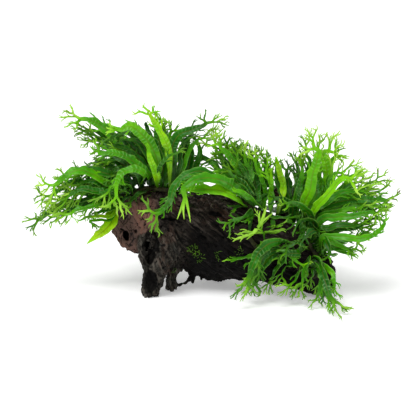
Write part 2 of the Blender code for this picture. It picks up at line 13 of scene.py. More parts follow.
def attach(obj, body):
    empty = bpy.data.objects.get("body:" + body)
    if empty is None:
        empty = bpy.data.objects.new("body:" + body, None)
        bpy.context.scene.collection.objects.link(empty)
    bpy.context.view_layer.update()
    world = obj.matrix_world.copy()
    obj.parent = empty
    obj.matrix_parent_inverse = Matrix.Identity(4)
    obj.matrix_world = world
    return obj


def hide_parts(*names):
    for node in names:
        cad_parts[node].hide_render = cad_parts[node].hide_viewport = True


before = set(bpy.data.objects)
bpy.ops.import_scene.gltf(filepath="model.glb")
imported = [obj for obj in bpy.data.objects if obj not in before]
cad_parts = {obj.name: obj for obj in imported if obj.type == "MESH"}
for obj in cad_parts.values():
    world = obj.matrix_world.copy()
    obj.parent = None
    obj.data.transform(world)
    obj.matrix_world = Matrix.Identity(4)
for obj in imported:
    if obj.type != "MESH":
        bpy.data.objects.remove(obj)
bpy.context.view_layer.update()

# Sizes are in millimetres until a mesh is made.
mm = 0.001
noise.seed_set(3)  # noise vectors would start from the clock otherwise
viewTilt = math.radians(15)  # the camera looks down by this, which slants the heights it sees
middle = 27  # how far behind the front foot the origin lies
sight = Vector((0, math.cos(viewTilt), -math.sin(viewTilt)))  # away from the camera
print("frame loaded:", len(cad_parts), "nodes")


def seen(across, up, back):
    # a place read off the front view: across, height as seen, distance behind the front foot
    return Vector((across, back - middle, (up - back * math.sin(viewTilt)) / math.cos(viewTilt)))


def placed(across, height, back):
    # a place given by its true height
    return Vector((across, back - middle, height))


def between(low, high, value):
    # 0 below low, 1 above high, smooth in between
    t = min(max((value - low) / (high - low), 0.0), 1.0)
    return t * t * (3 - 2 * t)


def heightSeen(place):
    # the height at which the camera sees a spot
    return place.z * math.cos(viewTilt) + (place.y + middle) * math.sin(viewTilt)


def mixed(a, b, share):
    return a + (b - a) * share


def newObject(name, data):
    thing = bpy.data.objects.new(name, data)
    bpy.context.scene.collection.objects.link(thing)
    return thing


def meshOf(name, work):
    # the work becomes a mesh and is put away
    mesh = bpy.data.meshes.new(name)
    work.to_mesh(mesh)
    work.free()
    return mesh


def inMillimetres(*meshes):
    work = bmesh.new()
    for mesh in meshes:
        work.from_mesh(mesh)
    bmesh.ops.scale(work, vec=(1 / mm, 1 / mm, 1 / mm), verts=work.verts[:])
    return work


def searchTree(*meshes):
    # finds the nearest spot on these meshes
    work = inMillimetres(*meshes)
    tree = BVHTree.FromBMesh(work)
    work.free()
    return tree


def cadMesh(name):
    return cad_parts[name].data


def moveAll(work, places, smoothing):
    # every corner to its new place, then evened out a little
    for vert, place in zip(work.verts, places):
        vert.co = place
    bmesh.ops.smooth_vert(work, verts=work.verts[:], factor=smoothing, use_axis_x=True, use_axis_y=True,
                          use_axis_z=True)


# Shader maths: plain arithmetic on sockets
class Wire:
    def __init__(self, tree, socket):
        self.tree, self.socket = tree, socket

    def maths(self, operation, *values):
        return addNode(self.tree, "ShaderNodeMath", {"operation": operation}, dict(enumerate(values)))

    def __add__(self, other):
        return self.maths("ADD", self, other)

    def __sub__(self, other):
        return self.maths("SUBTRACT", self, other)

    def __rsub__(self, other):
        return self.maths("SUBTRACT", other, self)

    def __mul__(self, other):
        return self.maths("MULTIPLY", self, other)

    def __abs__(self):
        return self.maths("ABSOLUTE", self)

    __radd__ = __add__
    __rmul__ = __mul__


def addNode(tree, kind, settings, sockets, output=0):
    # one node: its settings first, then the values or links of its sockets
    node = tree.nodes.new(kind)
    for key, value in settings.items():
        if key == "stops":
            while len(node.color_ramp.elements) < len(value):
                node.color_ramp.elements.new(1)
            for element, (place, colour) in zip(node.color_ramp.elements, value):
                element.position, element.color = place, colour
        else:
            setattr(node, key, value)
    for key, value in sockets.items():
        if isinstance(value, Wire):
            tree.links.new(value.socket, node.inputs[key])
        else:
            node.inputs[key].default_value = value
    return Wire(tree, node.outputs[output])


def paint(red, green, blue):
    # a colour as a screen shows it, 0 to 255, made linear
    return tuple((value / 255) ** 2.2 for value in (red, green, blue)) + (1.0,)


def attribute(tree, name, output="Fac"):
    return addNode(tree, "ShaderNodeAttribute", {"attribute_name": name}, {}, output)


def blend(factor, first, second, kind="MIX"):
    # two colours mixed
    settings = {"data_type": "RGBA", "blend_type": kind}
    return addNode(factor.tree, "ShaderNodeMix", settings, {0: factor, 6: first, 7: second}, 2)


def ramp(value, *stops):
    return addNode(value.tree, "ShaderNodeValToRGB", {"stops": stops}, {0: value})


def step(value, low, high):
    # 0 to 1 as the value goes from low to high
    settings = {"interpolation_type": "SMOOTHSTEP"}
    return addNode(value.tree, "ShaderNodeMapRange", settings, {0: value, 1: low, 2: high})


def grainNoise(tree, scale, detail=3):
    # noise on the piece's own place
    place = addNode(tree, "ShaderNodeTexCoord", {}, {}, "Object")
    sockets = {"Vector": place, "Scale": scale, "Detail": detail, "Roughness": 0.55}
    return addNode(tree, "ShaderNodeTexNoise", {}, sockets, "Fac")


def newMaterial(name, **constants):
    material = bpy.data.materials.new(name)
    material.use_nodes = True
    shader = material.node_tree.nodes["Principled BSDF"]
    for key, value in constants.items():
        shader.inputs[key.replace("_", " ")].default_value = value
    return material, material.node_tree, shader


def feed(shader, name, wire):
    wire.tree.links.new(wire.socket, shader.inputs[name])


def bumped(shader, height, distance, strength=1.0):
    sockets = {"Height": height, "Distance": distance, "Strength": strength}
    feed(shader, "Normal", addNode(height.tree, "ShaderNodeBump", {}, sockets))


# Leaf: colour by tone (0 bluish dark, 1 yellow-green), veins across the blade with painted shade in their
# grooves and painted highlights on their ridges, a paler crest, painted shade at the foot
leafPaint = {
    "tones": [(0.0, paint(44, 98, 40)), (0.14, paint(24, 78, 0)), (0.35, paint(42, 112, 0)),
              (0.55, paint(72, 150, 0)), (0.78, paint(118, 194, 0)), (1.0, paint(170, 216, 8))],
    "crest": paint(134, 206, 22),
    "tip": paint(182, 228, 84),
    # painted highlight colour for the quilting ridges and the scattered glints
    "gleam": paint(164, 214, 140),
    # painted shade for the foot of each frond, where it lies under the others
    "foot": paint(18, 44, 3),
    "rib": paint(104, 88, 34),
    "brown": paint(96, 62, 28),
    "grooveShade": paint(90, 140, 40),  # painted shade, multiplied into the quilting grooves
    "roughness": 0.22,
    "quiltHeight": 0.0005,
}


def leafMaterial():
    look = leafPaint
    material, tree, shader = newMaterial("fernLeaf", Specular_IOR_Level=0.15, Subsurface_Weight=0.1,
                                         Subsurface_Scale=0.002, Subsurface_Radius=(0.6, 1.0, 0.3))
    side, along, tone, veins, age = (attribute(tree, key) for key in Frond.layers)
    blotch = grainNoise(tree, 60, detail=2)
    fine = grainNoise(tree, 420, detail=2)
    shade = ramp(tone + (blotch - 0.5) * 0.5, *look["tones"])
    crestShare = step(along, 0.85, 1.7) * (0.25 + tone * 0.75)
    shade = blend(crestShare, shade, look["crest"])
    shade = blend(step(along + (blotch - 0.5) * 1.5, 1.4, 2.1) * (0.12 + tone * 1.1), shade, look["tip"])
    ribShare = step(abs(side), 0.14, 0.02) * step(along, 1.2, 0.9) * 0.5
    shade = blend(ribShare, shade, look["rib"])
    # a painted highlight along the edges of the blades, in the colour of the tips
    shade = blend(step(abs(side), 0.75, 1.0) * step(along, 1.1, 0.9) * 0.16, shade, look["tip"])
    # the quilted bands between the side veins: painted shade in their grooves, painted highlights on
    # their ridges, and scattered painted glints
    band = veins.maths("SINE", veins * (2 * math.pi)) * 0.5 + 0.5
    ribbed = step(along, 1.1, 0.9) * step(abs(side), 0.05, 0.3)
    ribbed = ribbed * step(grainNoise(tree, 22, detail=1), 0.4, 0.6)
    patchy = step(grainNoise(tree, 130, detail=1), 0.35, 0.65)
    shade = blend(band * ribbed * patchy * 0.3, shade, look["grooveShade"], "MULTIPLY")
    gleam = step(1 - band, 0.6, 1.0) * ribbed * patchy
    # painted glints scattered over the blades
    paintedGlint = step(grainNoise(tree, 75, detail=3), 0.56, 0.7) * step(along, 1.4, 0.8)
    shade = blend(gleam * 0.2 + paintedGlint * 0.12, shade, look["gleam"])
    # painted shade: each frond darkens towards its foot
    shade = blend(step(along, 0.5, 0.0) * 0.8, shade, look["foot"])
    speck = step(fine * 0.5 + age * 0.62, 0.72, 0.82)
    shade = blend(speck, shade, look["brown"])
    feed(shader, "Base Color", shade)
    feed(shader, "Roughness", fine * 0.25 + look["roughness"])
    bumped(shader, fine * 0.3 + patchy * 0.6 - band * ribbed * 0.5, look["quiltHeight"], 0.55)
    return material


# Ferns. A row is: name, blade width, turn of the blade, tone, course, tips of the crest.
# A course runs across, height as seen and distance behind the foot; a tip is across and height.
fernLook = {
    "stalk": 1.8,        # width of a stalk
    "tip": 0.45,         # width of a crest's last tips
    "blade": 0.42,       # thickness of a blade
    "rib": 0.9,          # thickness at the midrib and in the stalk
    "spacing": 1.7,      # between rows of the mesh
    "quilt": 3.7,        # between side veins
    "crinkle": 0.9,      # how far the blade is crumpled up and down
    "trough": 0.4,       # depth of the groove over the midrib
    "fold": 0.34,        # how steeply the two halves of a blade rise from the midrib
    "ruffle": 0.55,      # share of the half width that the edge waves by
    "wave": 7,           # length of those waves
    "sway": 16,          # degrees that a blade turns to and fro about its spine
    "partAt": 0.28,      # how far an arm of the crest runs before it parts
    "finger": 2.1,       # width of a crest's fingers where they part
    "taper": 0.88,       # of a finger, from joint to joint
    "joint": 7.5,        # between the side shoots of a finger
    "shortest": 6.0,     # a shoot shorter than this doesn't fork
    "spread": 27,        # degrees between a finger and its side shoot
    "reach": (6, 14),    # least and greatest length of a side shoot
    "edgeShoots": 0.8,   # share along the blade where shoots start at its edges
    "edgeReach": (4, 9),  # least and greatest length of those shoots
    "frontFacing": Vector((0, -0.75, 0.66)),
    "upFacing": Vector((0, -0.3, 0.95)),
}
frontFerns = [
    ("left_01", 11, 0, 0.5, [(-68, 135, 50), (-88, 152, 55), (-105, 168, 58), (-115, 175, 58),
     (-123, 178, 58)], [(-140, 194), (-148, 186), (-153, 180), (-147, 171), (-137, 166)]),
    ("left_02", 8, 20, 0.4, [(-84, 128, 62), (-100, 145, 66), (-110, 157, 68)], [(-126, 167), (-137, 170),
     (-136, 161), (-131, 150)]),
    ("left_03", 11, 0, 0.6, [(-51, 130, 28), (-58, 150, 25), (-68, 162, 23), (-78, 169, 22),
     (-86, 166, 21)], [(-101, 173), (-98, 168), (-103, 163)]),
    ("left_04", 10, 0, 0.15, [(-58, 126, 35), (-69, 141, 36), (-79, 151, 36), (-88, 159, 35),
     (-96, 159, 34)], [(-106, 155), (-104, 149), (-98, 146)]),
    ("left_06", 9, 10, 0.48, [(-60, 121, 22), (-70, 130, 18), (-82, 139, 15), (-95, 143, 13),
     (-107, 142, 12)], [(-114, 156), (-118, 150), (-118, 140), (-105, 154)]),
    ("left_07", 9, 0, 0.2, [(-74, 119, 34), (-83, 129, 30), (-92, 135, 28), (-99, 136, 27)], [(-117, 139),
     (-114, 131), (-111, 125), (-104, 126)]),
    ("left_08", 11, 10, 0.54, [(-90, 106, 22), (-102, 114, 18), (-115, 122, 15), (-128, 126, 12),
     (-140, 122, 10), (-148, 115, 9)], [(-168, 123), (-172, 110), (-167, 98), (-161, 88), (-151, 97)]),
    ("left_09", 10, 0, 0.2, [(-103, 103, 40), (-114, 98, 38), (-130, 93, 36), (-148, 92, 33),
     (-160, 86, 31), (-168, 80, 30)], [(-175, 84), (-188, 76), (-185, 67), (-179, 60)]),
    ("left_10", 9, 10, 0.48, [(-96, 96, 14), (-108, 93, 8), (-120, 90, 5), (-132, 87, 3)], [(-160, 82),
     (-153, 75), (-143, 72), (-130, 75)]),
    ("left_13", 13, 0, 0.95, [(-98, 76, 22), (-105, 67, 17), (-113, 61, 14)], [(-123, 53)]),
    ("left_14", 7, 0, 0.55, [(-64, 121, 8), (-73, 127, 0), (-84, 124, -6), (-90, 116, -9),
     (-91, 108, -10)], [(-107, 88), (-99, 89), (-90, 81), (-84, 78), (-76, 82)]),
    ("crown_02", 8, 0, 0.82, [(-40, 130, 24), (-41, 147, 20), (-46, 159, 18), (-52, 169, 17),
     (-57, 177, 16)], [(-76, 183), (-66, 190), (-60, 184), (-55, 189), (-49, 181)]),
    ("crown_03", 13, 0, 0.35, [(-46, 132, 40), (-48, 144, 42), (-51, 156, 44), (-53, 166, 45)],
     [(-58, 178), (-52, 180), (-46, 178)]),
    ("crown_04", 9, 0, 0, [(-56, 140, 56), (-60, 157, 60), (-63, 168, 62)], [(-65, 176)]),
    ("crown_05", 8, 20, 0.58, [(-43, 137, 58), (-42, 155, 66), (-41, 163, 68)], [(-46, 180), (-38, 178),
     (-31, 173), (-27, 167)]),
    ("crown_06", 10, 0, 0.22, [(-36, 136, 32), (-37, 151, 33), (-30, 162, 34), (-19, 166, 35),
     (-8, 170, 36)], [(-14, 180), (-5, 186), (10, 183), (18, 178), (19, 171)]),
    ("crown_07", 9, 0, 0.2, [(-22, 128, 44), (-20, 145, 48), (-25, 156, 50)], [(-35, 158)]),
    ("middle_00", 7, 0, 0.3, [(12, 121, 48), (5, 132, 51), (-5, 139, 53), (-17, 139, 54)], [(-42, 141),
     (-40, 131), (-34, 125), (-25, 127)]),
    ("middle_01", 9, 10, 0.3, [(24, 108, 18), (5, 119, 8), (-10, 125, 3), (-24, 120, 0), (-35, 109, -4),
     (-39, 96, -7), (-47, 86, -9)], [(-66, 101), (-70, 83), (-62, 75), (-59, 66), (-51, 60)]),
    ("middle_02", 12, 0, 0.45, [(30, 104, 8), (15, 114, -3), (0, 118, -9), (-14, 116, -13),
     (-24, 110, -16)], [(-32, 78), (-25, 78), (-19, 75)]),
    ("middle_04", 9, 0, 0.45, [(50, 90, 0), (41, 97, -9), (31, 104, -14)], [(21, 108)]),
    ("middle_05", 8, 0, 0.4, [(28, 112, 30), (20, 120, 28), (13, 126, 27)], [(3, 130), (1, 124)]),
    ("middle_06", 9, 0, 0.5, [(38, 112, 32), (30, 127, 32), (20, 140, 31), (12, 147, 30)], [(-3, 151),
     (0, 160), (6, 164), (16, 166)]),
    ("middle_07", 10, 0, 0.3, [(46, 112, 40), (38, 129, 42), (30, 143, 43), (24, 149, 44)], [(14, 151),
     (20, 157), (30, 159)]),
    ("middle_08", 7, 10, 0, [(20, 120, 62), (14, 133, 68), (11, 146, 72)], [(5, 152), (8, 158),
     (15, 156)]),
    ("middle_09", 9, 0, 0.45, [(52, 110, 46), (49, 126, 52), (46, 137, 55)], [(40, 150), (47, 153),
     (54, 151), (59, 144)]),
    ("middle_11", 7, 0, 0.88, [(73, 108, 28), (70, 122, 27), (67, 132, 26)], [(64, 140)]),
    ("right_01", 8, 0, 0.15, [(80, 97, 34), (79, 112, 38), (77, 122, 40)], [(70, 136), (77, 138),
     (84, 132)]),
    ("right_03", 11, 0, 0.68, [(92, 90, 10), (98, 106, 6), (100, 120, 4), (104, 134, 3), (106, 143, 3)],
     [(91, 160), (94, 167), (103, 169), (89, 148), (86, 139)]),
    ("right_04", 11, 0, 0.72, [(106, 84, 26), (115, 102, 28), (117, 118, 29), (115, 133, 29),
     (112, 143, 29)], [(116, 164), (129, 166), (133, 156), (138, 138), (133, 131)]),
    ("right_05", 7, 0, 0.75, [(101, 84, 4), (114, 101, -3), (124, 114, -8), (130, 118, -10)], [(147, 129),
     (156, 124), (142, 108), (146, 99)]),
    ("right_06", 4, 0, 0.5, [(120, 92, 22), (146, 104, 28), (160, 114, 30)], [(168, 129), (178, 125),
     (181, 117), (175, 110)]),
    ("right_07", 9, 10, 0.38, [(108, 86, 12), (124, 94, 13), (140, 97, 12), (156, 97, 11), (170, 97, 10)],
     [(188, 107), (185, 98), (181, 90), (174, 84)]),
    ("right_08", 8, 10, 0.45, [(108, 76, 1), (124, 80, -4), (140, 81, -7), (156, 85, -10)], [(177, 90),
     (170, 76), (162, 74)]),
    ("right_09", 7, 0, 0.5, [(110, 60, -13), (130, 61, -19), (147, 59, -23), (161, 65, -27),
     (168, 73, -29)], [(162, 82), (173, 81)]),
    ("right_10", 9, 0, 0.6, [(111, 52, 0), (123, 58, 0), (140, 60, -2)], [(159, 65), (158, 57), (153, 47),
     (145, 51)]),
    ("right_11", 5, 0, 0.5, [(115, 49, 7), (128, 46, 9), (139, 43, 10)], [(148, 38)]),
    ("low_01", 10, 0, 0.22, [(79, 54, -22), (67, 57, -29), (56, 54, -33), (47, 46, -36), (42, 36, -38),
     (39, 26, -39)], [(25, 12), (20, 1), (29, -2), (47, 4)]),
    ("low_02", 9, 0, 0.22, [(66, 46, -17), (57, 39, -20), (50, 29, -21), (46, 19, -22)], [(35, 12),
     (40, 3), (49, 3)]),
    ("low_04", 7, 0, 0.3, [(55, 50, -20), (53, 58, -26)], [(24, 65), (22, 57), (43, 89), (54, 91),
     (61, 86), (75, 79), (73, 69)]),
    ("low_05", 5, 0, 0.36, [(90, 33, -22), (84, 20, -29)], [(63, 13), (65, 4), (74, 3), (82, 2)]),
    ("low_06", 11, 0, 0.25, [(104, 38, -18), (107, 37, -31), (111, 20, -42), (115, 5, -52)], [(116, -14),
     (126, -18), (134, -12), (140, -9)]),
    ("low_07", 6, 0, 0.3, [(104, 35, -21), (108, 29, -33), (105, 16, -41)], [(94, -2), (108, -1)]),
]
# Those that lean away behind the wood, with true heights
rearFerns = [
    ("rear_01", 11, 0, 0.4, [(-92, 118, 66), (-108, 120, 88), (-118, 108, 106)], [(-132, 100, 116),
     (-126, 90, 122), (-114, 88, 122)]),
    ("rear_02", 11, 0, 0.4, [(-66, 122, 70), (-72, 126, 94), (-76, 112, 114)], [(-88, 100, 124),
     (-78, 90, 128), (-68, 96, 128)]),
    ("rear_03", 10, 0, 0.4, [(-34, 122, 68), (-30, 124, 92), (-26, 108, 110)], [(-38, 92, 120),
     (-28, 84, 124), (-16, 92, 120)]),
    ("rear_04", 10, 0, 0.4, [(14, 112, 62), (14, 112, 86), (12, 94, 104)], [(0, 80, 112), (10, 70, 116),
     (22, 78, 112)]),
    ("rear_05", 10, 0, 0.4, [(66, 92, 52), (62, 96, 78), (60, 78, 98)], [(48, 64, 106), (58, 54, 110),
     (70, 62, 106)]),
    ("rear_06", 10, 0, 0.4, [(98, 84, 44), (108, 86, 66), (114, 72, 84)], [(106, 54, 92), (116, 48, 96),
     (126, 58, 92)]),
]
# Small or thin ones that are only modelled here
extraFerns = [
    ("left_05", 9, 0, 0.15, [(-60, 137, 42), (-67, 147, 43), (-77, 154, 44), (-88, 147, 44)], [(-94, 150),
     (-92, 145)]),
    ("left_11", 4, 0, 0.85, [(-98, 81, 16), (-110, 81, 12), (-122, 80, 9)], [(-130, 76)]),
    ("left_12", 3, 0, 0.5, [(-98, 78, 22), (-110, 77, 20), (-120, 76, 18)], [(-117, 68), (-112, 67),
     (-108, 71)]),
    ("crown_01", 7, 0, 0.8, [(-53, 122, 16), (-57, 132, 12), (-60, 142, 10)], [(-61, 152)]),
    ("crown_08", 6, 0, 0.35, [(-17, 125, 48), (-13, 134, 50), (-10, 145, 52), (-12, 154, 54)],
     [(-22, 163), (-16, 164)]),
    ("crown_09", 4, 0, 0.3, [(-50, 129, 12), (-40, 140, 10)], [(-23, 147), (-26, 143)]),
    ("middle_03", 12, 0, 0.66, [(33, 92, 6), (22, 101, -2), (8, 106, -4), (-10, 107, -7),
     (-20, 107, -10)], [(-28, 110), (-28, 105)]),
    ("middle_10", 5, 0, 0.66, [(60, 98, 22), (61, 112, 20), (61, 118, 20)], [(61, 129)]),
    ("middle_12", 6, 0, 0.5, [(42, 122, 36), (36, 134, 37)], [(28, 145), (31, 156), (37, 157)]),
    ("right_02", 7, 0, 0.45, [(86, 98, 20), (90, 116, 16), (91, 124, 15)], [(86, 139), (94, 138)]),
    ("right_12", 4, 0, 0.6, [(108, 50, 12), (114, 46, 12)], [(121, 38), (127, 42), (114, 36)]),
    ("low_03", 8, 0, 0.3, [(88, 44, -22), (78, 45, -27), (70, 43, -29)], [(61, 38), (66, 34)]),
    ("low_08", 4, 0, 0.55, [(77, 43, -24), (84, 37, -27)], [(92, 32), (98, 35), (96, 24)]),
    ("low_09", 4, 0, 0.25, [(40, 87, -8), (33, 80, -14), (22, 77, -17)], [(6, 77), (12, 69), (17, 60)]),
    ("middle_13", 5, 0, 0.8, [(22, 118, 40), (16, 132, 42), (8, 144, 44)], [(-6, 152), (-12, 160),
     (-4, 168), (6, 172), (12, 164)]),
    ("crown_10", 5, 0, 0.5, [(-26, 132, 36), (-20, 148, 38), (-12, 157, 40)], [(0, 162), (8, 174),
     (14, 168), (4, 157), (-4, 150)]),
    ("middle_15", 7, 0, 0.2, [(50, 100, 36), (55, 118, 38), (56, 132, 39)], [(50, 146), (57, 149),
     (61, 142)]),
    ("right_13", 6, 0, 0.35, [(76, 100, 30), (67, 114, 30), (66, 126, 30)], [(62, 136), (70, 138)]),
    ("right_14", 8, 0, 0.3, [(112, 67, 6), (126, 72, 4), (136, 73, 2)], [(150, 78), (148, 70), (142, 66),
     (154, 73)]),
    ("right_15", 8, 10, 0.4, [(114, 50, -4), (126, 50, -6), (136, 48, -8)], [(148, 56), (154, 47),
     (146, 40), (138, 38)]),
    ("right_16", 6, 10, 0.5, [(112, 58, -6), (124, 54, -10), (132, 50, -12)], [(142, 52), (144, 44),
     (134, 42)]),
    ("left_15", 8, 0, 0.2, [(-96, 99, 24), (-112, 103, 22), (-122, 104, 20)], [(-142, 103), (-136, 98),
     (-146, 109), (-132, 109)]),
    ("left_16", 7, 0, 0.3, [(-92, 92, 18), (-100, 88, 14), (-107, 86, 12)], [(-118, 84), (-116, 79)]),
    ("low_10", 6, 0, 0.4, [(104, 34, -26), (110, 18, -38), (113, 6, -44)], [(112, -9), (118, -13),
     (122, -6)]),
    # over the right end of the log
    ("right_17", 9, 20, 0.12, [(102, 74, -4), (96, 78, -14), (88, 76, -20)], [(76, 68), (74, 76),
     (80, 62)]),
    ("right_18", 8, 0, 0.05, [(104, 66, -8), (98, 66, -20), (92, 60, -26)], [(86, 50), (80, 56),
     (92, 48)]),
    ("right_19", 7, 0, 0.3, [(100, 80, 0), (90, 90, -8), (80, 94, -12)], [(66, 92), (70, 98), (72, 86)]),
    ("right_20", 8, 0, 0.2, [(110, 60, -10), (114, 54, -20), (116, 46, -26)], [(108, 38), (118, 36),
     (124, 42)]),
    ("low_11", 7, 0, 0.15, [(92, 52, -22), (84, 56, -30), (76, 52, -34)], [(64, 46), (68, 40), (74, 36)]),
    ("low_12", 6, 0, 0.3, [(98, 40, -24), (92, 30, -34), (90, 22, -38)], [(80, 10), (88, 8), (96, 12)]),
    ("right_23", 7, 0, 0.6, [(110, 96, 32), (119, 120, 32), (121, 136, 32)], [(124, 162), (133, 150),
     (137, 142), (128, 138)]),
    ("right_24", 6, 0, 0.6, [(116, 94, 24), (134, 112, 24), (140, 120, 24)], [(148, 132), (154, 128),
     (152, 120)]),
    ("right_25", 8, 0, 0.12, [(82, 90, 16), (74, 96, 12), (67, 98, 8)], [(56, 100), (58, 92), (62, 106)]),
    ("right_21", 9, 0, 0.08, [(92, 84, 4), (90, 74, -6), (91, 66, -12)], [(86, 56), (94, 54), (98, 60)]),
    ("right_22", 8, 10, 0.14, [(98, 84, 6), (100, 74, -4), (104, 68, -8)], [(108, 60), (114, 64)]),
    ("low_13", 6, 0, 0.55, [(108, 34, -24), (118, 26, -36), (120, 16, -42)], [(112, 2), (120, 4),
     (126, 0)]),
    # long narrow ones in the middle bundle
    ("middle_16", 5, 0, 0.45, [(34, 108, 36), (24, 126, 38), (14, 138, 38)], [(2, 150), (6, 156),
     (12, 158)]),
    ("middle_17", 5, 0, 0.3, [(42, 106, 30), (36, 122, 30), (28, 136, 30)], [(18, 150), (24, 156),
     (32, 150)]),
    ("middle_18", 5, 0, 0.55, [(56, 100, 30), (52, 116, 30), (46, 130, 30)], [(36, 146), (44, 148),
     (50, 142)]),
    ("middle_19", 4, 0, 0.65, [(62, 98, 24), (60, 112, 22), (56, 124, 22)], [(50, 136), (56, 140),
     (62, 136)]),
]


# Where a crest differs from the rest: how often its fingers fork, how much broader they are, how brown
crestKinds = {
    "middle_02": (0, 1.5, 0), "low_04": (1, 1.9, 0), "middle_01": (1, 1.4, 0), "left_13": (0, 1, 0),
    "right_05": (1, 1.3, 0), "left_14": (1, 1.2, 0), "low_01": (2, 1.2, 0.1),
    "crown_02": (1, 1.2, 0), "right_11": (0, 1, 0), "right_06": (1, 0.9, 0.35),
    "right_07": (2, 1, 0.25), "left_01": (1, 1.1, 0.1),
}


def curveAt(points, share):
    # a smooth curve through the points
    place = min(max(share, 0.0), 1.0) * (len(points) - 1)
    index = min(int(place), len(points) - 2)
    t = place - index
    before, start = points[max(index - 1, 0)], points[index]
    end, after = points[index + 1], points[min(index + 2, len(points) - 1)]
    square = 2 * before - 5 * start + 4 * end - after
    cube = 3 * start - before - 3 * end + after
    return 0.5 * (2 * start + (end - before) * t + square * t**2 + cube * t**3)


def evenShares(points, spacing):
    # shares along a curve that are evenly spaced on it, and its length
    fine = 160
    spots = [curveAt(points, index / fine) for index in range(fine + 1)]
    lengths = [0.0]
    for a, b in zip(spots, spots[1:]):
        lengths.append(lengths[-1] + (b - a).length)
    count = max(14, round(lengths[-1] / spacing))
    shares = np.interp(np.linspace(0, lengths[-1], count + 1), lengths, np.linspace(0, 1, fine + 1))
    return [float(share) for share in shares], lengths[-1]


def bladeHalf(share, width):
    # half the width along the spine: a stalk, a lance-shaped blade, a narrow neck under the crest
    swell = between(0.08, 0.5, share)
    neck = min(max((share - 0.55) / 0.45, 0.0), 1.0)
    stalk = fernLook["stalk"]
    return stalk / 2 + (width - stalk) / 2 * swell * (1 - 0.62 * neck ** 1.6)


class Frond:
    # one frond's mesh, grown row by row from its foot to the tips of its crest
    layers = ("side", "along", "tone", "veins", "age")

    def __init__(self, name, tone, broad=1.0, age=0.0):
        self.work = bmesh.new()
        self.rng, self.tone, self.broad, self.age = random.Random(name), tone, broad, age
        self.drift, self.span = 0.0, 22
        self.marks = [self.work.verts.layers.float.new(layer) for layer in self.layers]
        self.weight = self.work.verts.layers.deform.verify()

    def start(self, spots, cuts):
        verts = [self.work.verts.new(spot) for spot in spots]
        edge = self.work.edges.new(verts)
        bmesh.ops.subdivide_edges(self.work, edges=[edge], cuts=cuts)
        return sorted(self.work.verts, key=lambda vert: vert.co.dot(spots[1] - spots[0]))

    def mark(self, row, along, veins=0.0, age=0.0, thick=0.0):
        last = len(row) - 1
        for number, vert in enumerate(row):
            side = 2 * number / last - 1
            values = (side, along, self.tone + self.drift, veins - 0.5 * abs(side), age)
            for layer, value in zip(self.marks, values):
                vert[layer] = value
            vert[self.weight][0] = max(thick, math.exp(-((side / 0.16) ** 2)) if last > 3 else 0.35)

    def extend(self, row, across, spots):
        # extrude a row of edges and put its new corners on their spots
        edges = [self.work.edges.get(pair) for pair in zip(row, row[1:])]
        made = bmesh.ops.extrude_edge_only(self.work, edges=edges)["geom"]
        fresh = [item for item in made if isinstance(item, bmesh.types.BMVert)]
        fresh.sort(key=lambda vert: vert.co.dot(across))
        for vert, spot in zip(fresh, spots):
            vert.co = spot
        return fresh

    def parted(self, row):
        # a row in two, with a new corner in the middle where it is one edge wide
        if len(row) > 2:
            half = len(row) // 2
            return row[:half + 1], row[half:]
        edge = self.work.edges.get(row)
        corner = bmesh.utils.edge_split(edge, row[0], 0.5)[1]
        return [row[0], corner], [corner, row[1]]


def growArm(frond, arm, end, halfWidths, spacing, bend=Vector(), twist=0.0):
    # bend an arm of the crest towards its end; arm holds where it is and how it lies
    row, across, here, way, normal, along = arm
    reach = (end - here).length
    steps = max(2, round(reach / spacing))
    elbow = here + way * reach * 0.45
    for index in range(1, steps + 1):
        t = index / steps
        spot = here * (1 - t) ** 2 + elbow * 2 * t * (1 - t) + end * t * t
        spot += bend * math.sin(math.pi * t)
        heading = ((elbow - here) * (1 - t) + (end - elbow) * t).normalized()
        turned = Matrix.Rotation(twist / steps, 3, heading) @ normal
        normal = (turned - turned.project(heading)).normalized()
        newAcross = normal.cross(heading).normalized()
        half = mixed(halfWidths[0], halfWidths[1], t ** 1.3)
        last = len(row) - 1
        spots = [spot + newAcross * half * (2 * number / last - 1) for number in range(last + 1)]
        row = frond.extend(row, across, spots)
        across = newAcross
        now = along + reach * t / frond.span
        age = frond.age + frond.rng.uniform(0.0, 0.35) + 0.35 * between(1.3, 2.1, now)
        frond.mark(row, now, age=age)
    return row, across, end, heading, normal, along + reach / frond.span


def growFinger(frond, arm, tip, half, forks):
    # a finger of the crest: it forks by turns at sharp angles and ends in long fine tips
    look, rng = fernLook, frond.rng
    length = (tip - arm[2]).length
    if forks == 0 or length < look["shortest"]:
        bend = (arm[4] * rng.uniform(-0.16, 0.16) + arm[1] * rng.uniform(-0.2, 0.2)) * length
        growArm(frond, arm, tip, (half, look["tip"] / 2), 1.7, bend, rng.uniform(-0.9, 0.9))
        return
    joints = max(1, round(length / look["joint"]))
    turn = rng.choice((-1, 1))
    for number in range(joints):
        here, normal = arm[2], arm[4]
        length = (tip - here).length
        share = rng.uniform(0.7, 1.0) / (joints + 1 - number)
        sway = arm[1] * rng.uniform(-0.09, 0.09) * length
        joint = here.lerp(tip, min(share, 0.5)) + sway + normal * rng.uniform(-0.06, 0.06) * length
        arm = growArm(frond, arm, joint, (half, half * look["taper"]), 2.4, twist=rng.uniform(-0.4, 0.4))
        row, across, here, way, normal, along = arm
        half = max(half * look["taper"], look["tip"])
        onwards = tip - here
        angle = math.radians(look["spread"] * rng.uniform(0.6, 1.4)) * turn
        shoot = Matrix.Rotation(angle, 3, normal) @ onwards.normalized()
        least, greatest = look["reach"]
        reach = onwards.length * rng.uniform(0.4, 0.85)
        reach = min(max(reach, min(least, onwards.length + 1)), greatest)
        shootTip = here + shoot * reach + normal * rng.uniform(-0.3, 0.3) * reach
        low, high = frond.parted(row)
        sideRow, mainRow = (high, low) if turn > 0 else (low, high)
        growFinger(frond, (sideRow, across, here, (way + shoot).normalized(), normal, along),
                   shootTip, max(half * 0.75, look["tip"]), forks - 1)
        arm = (mainRow, across, here, way, normal, along)
        turn = -turn
    growFinger(frond, arm, tip, half, 0)


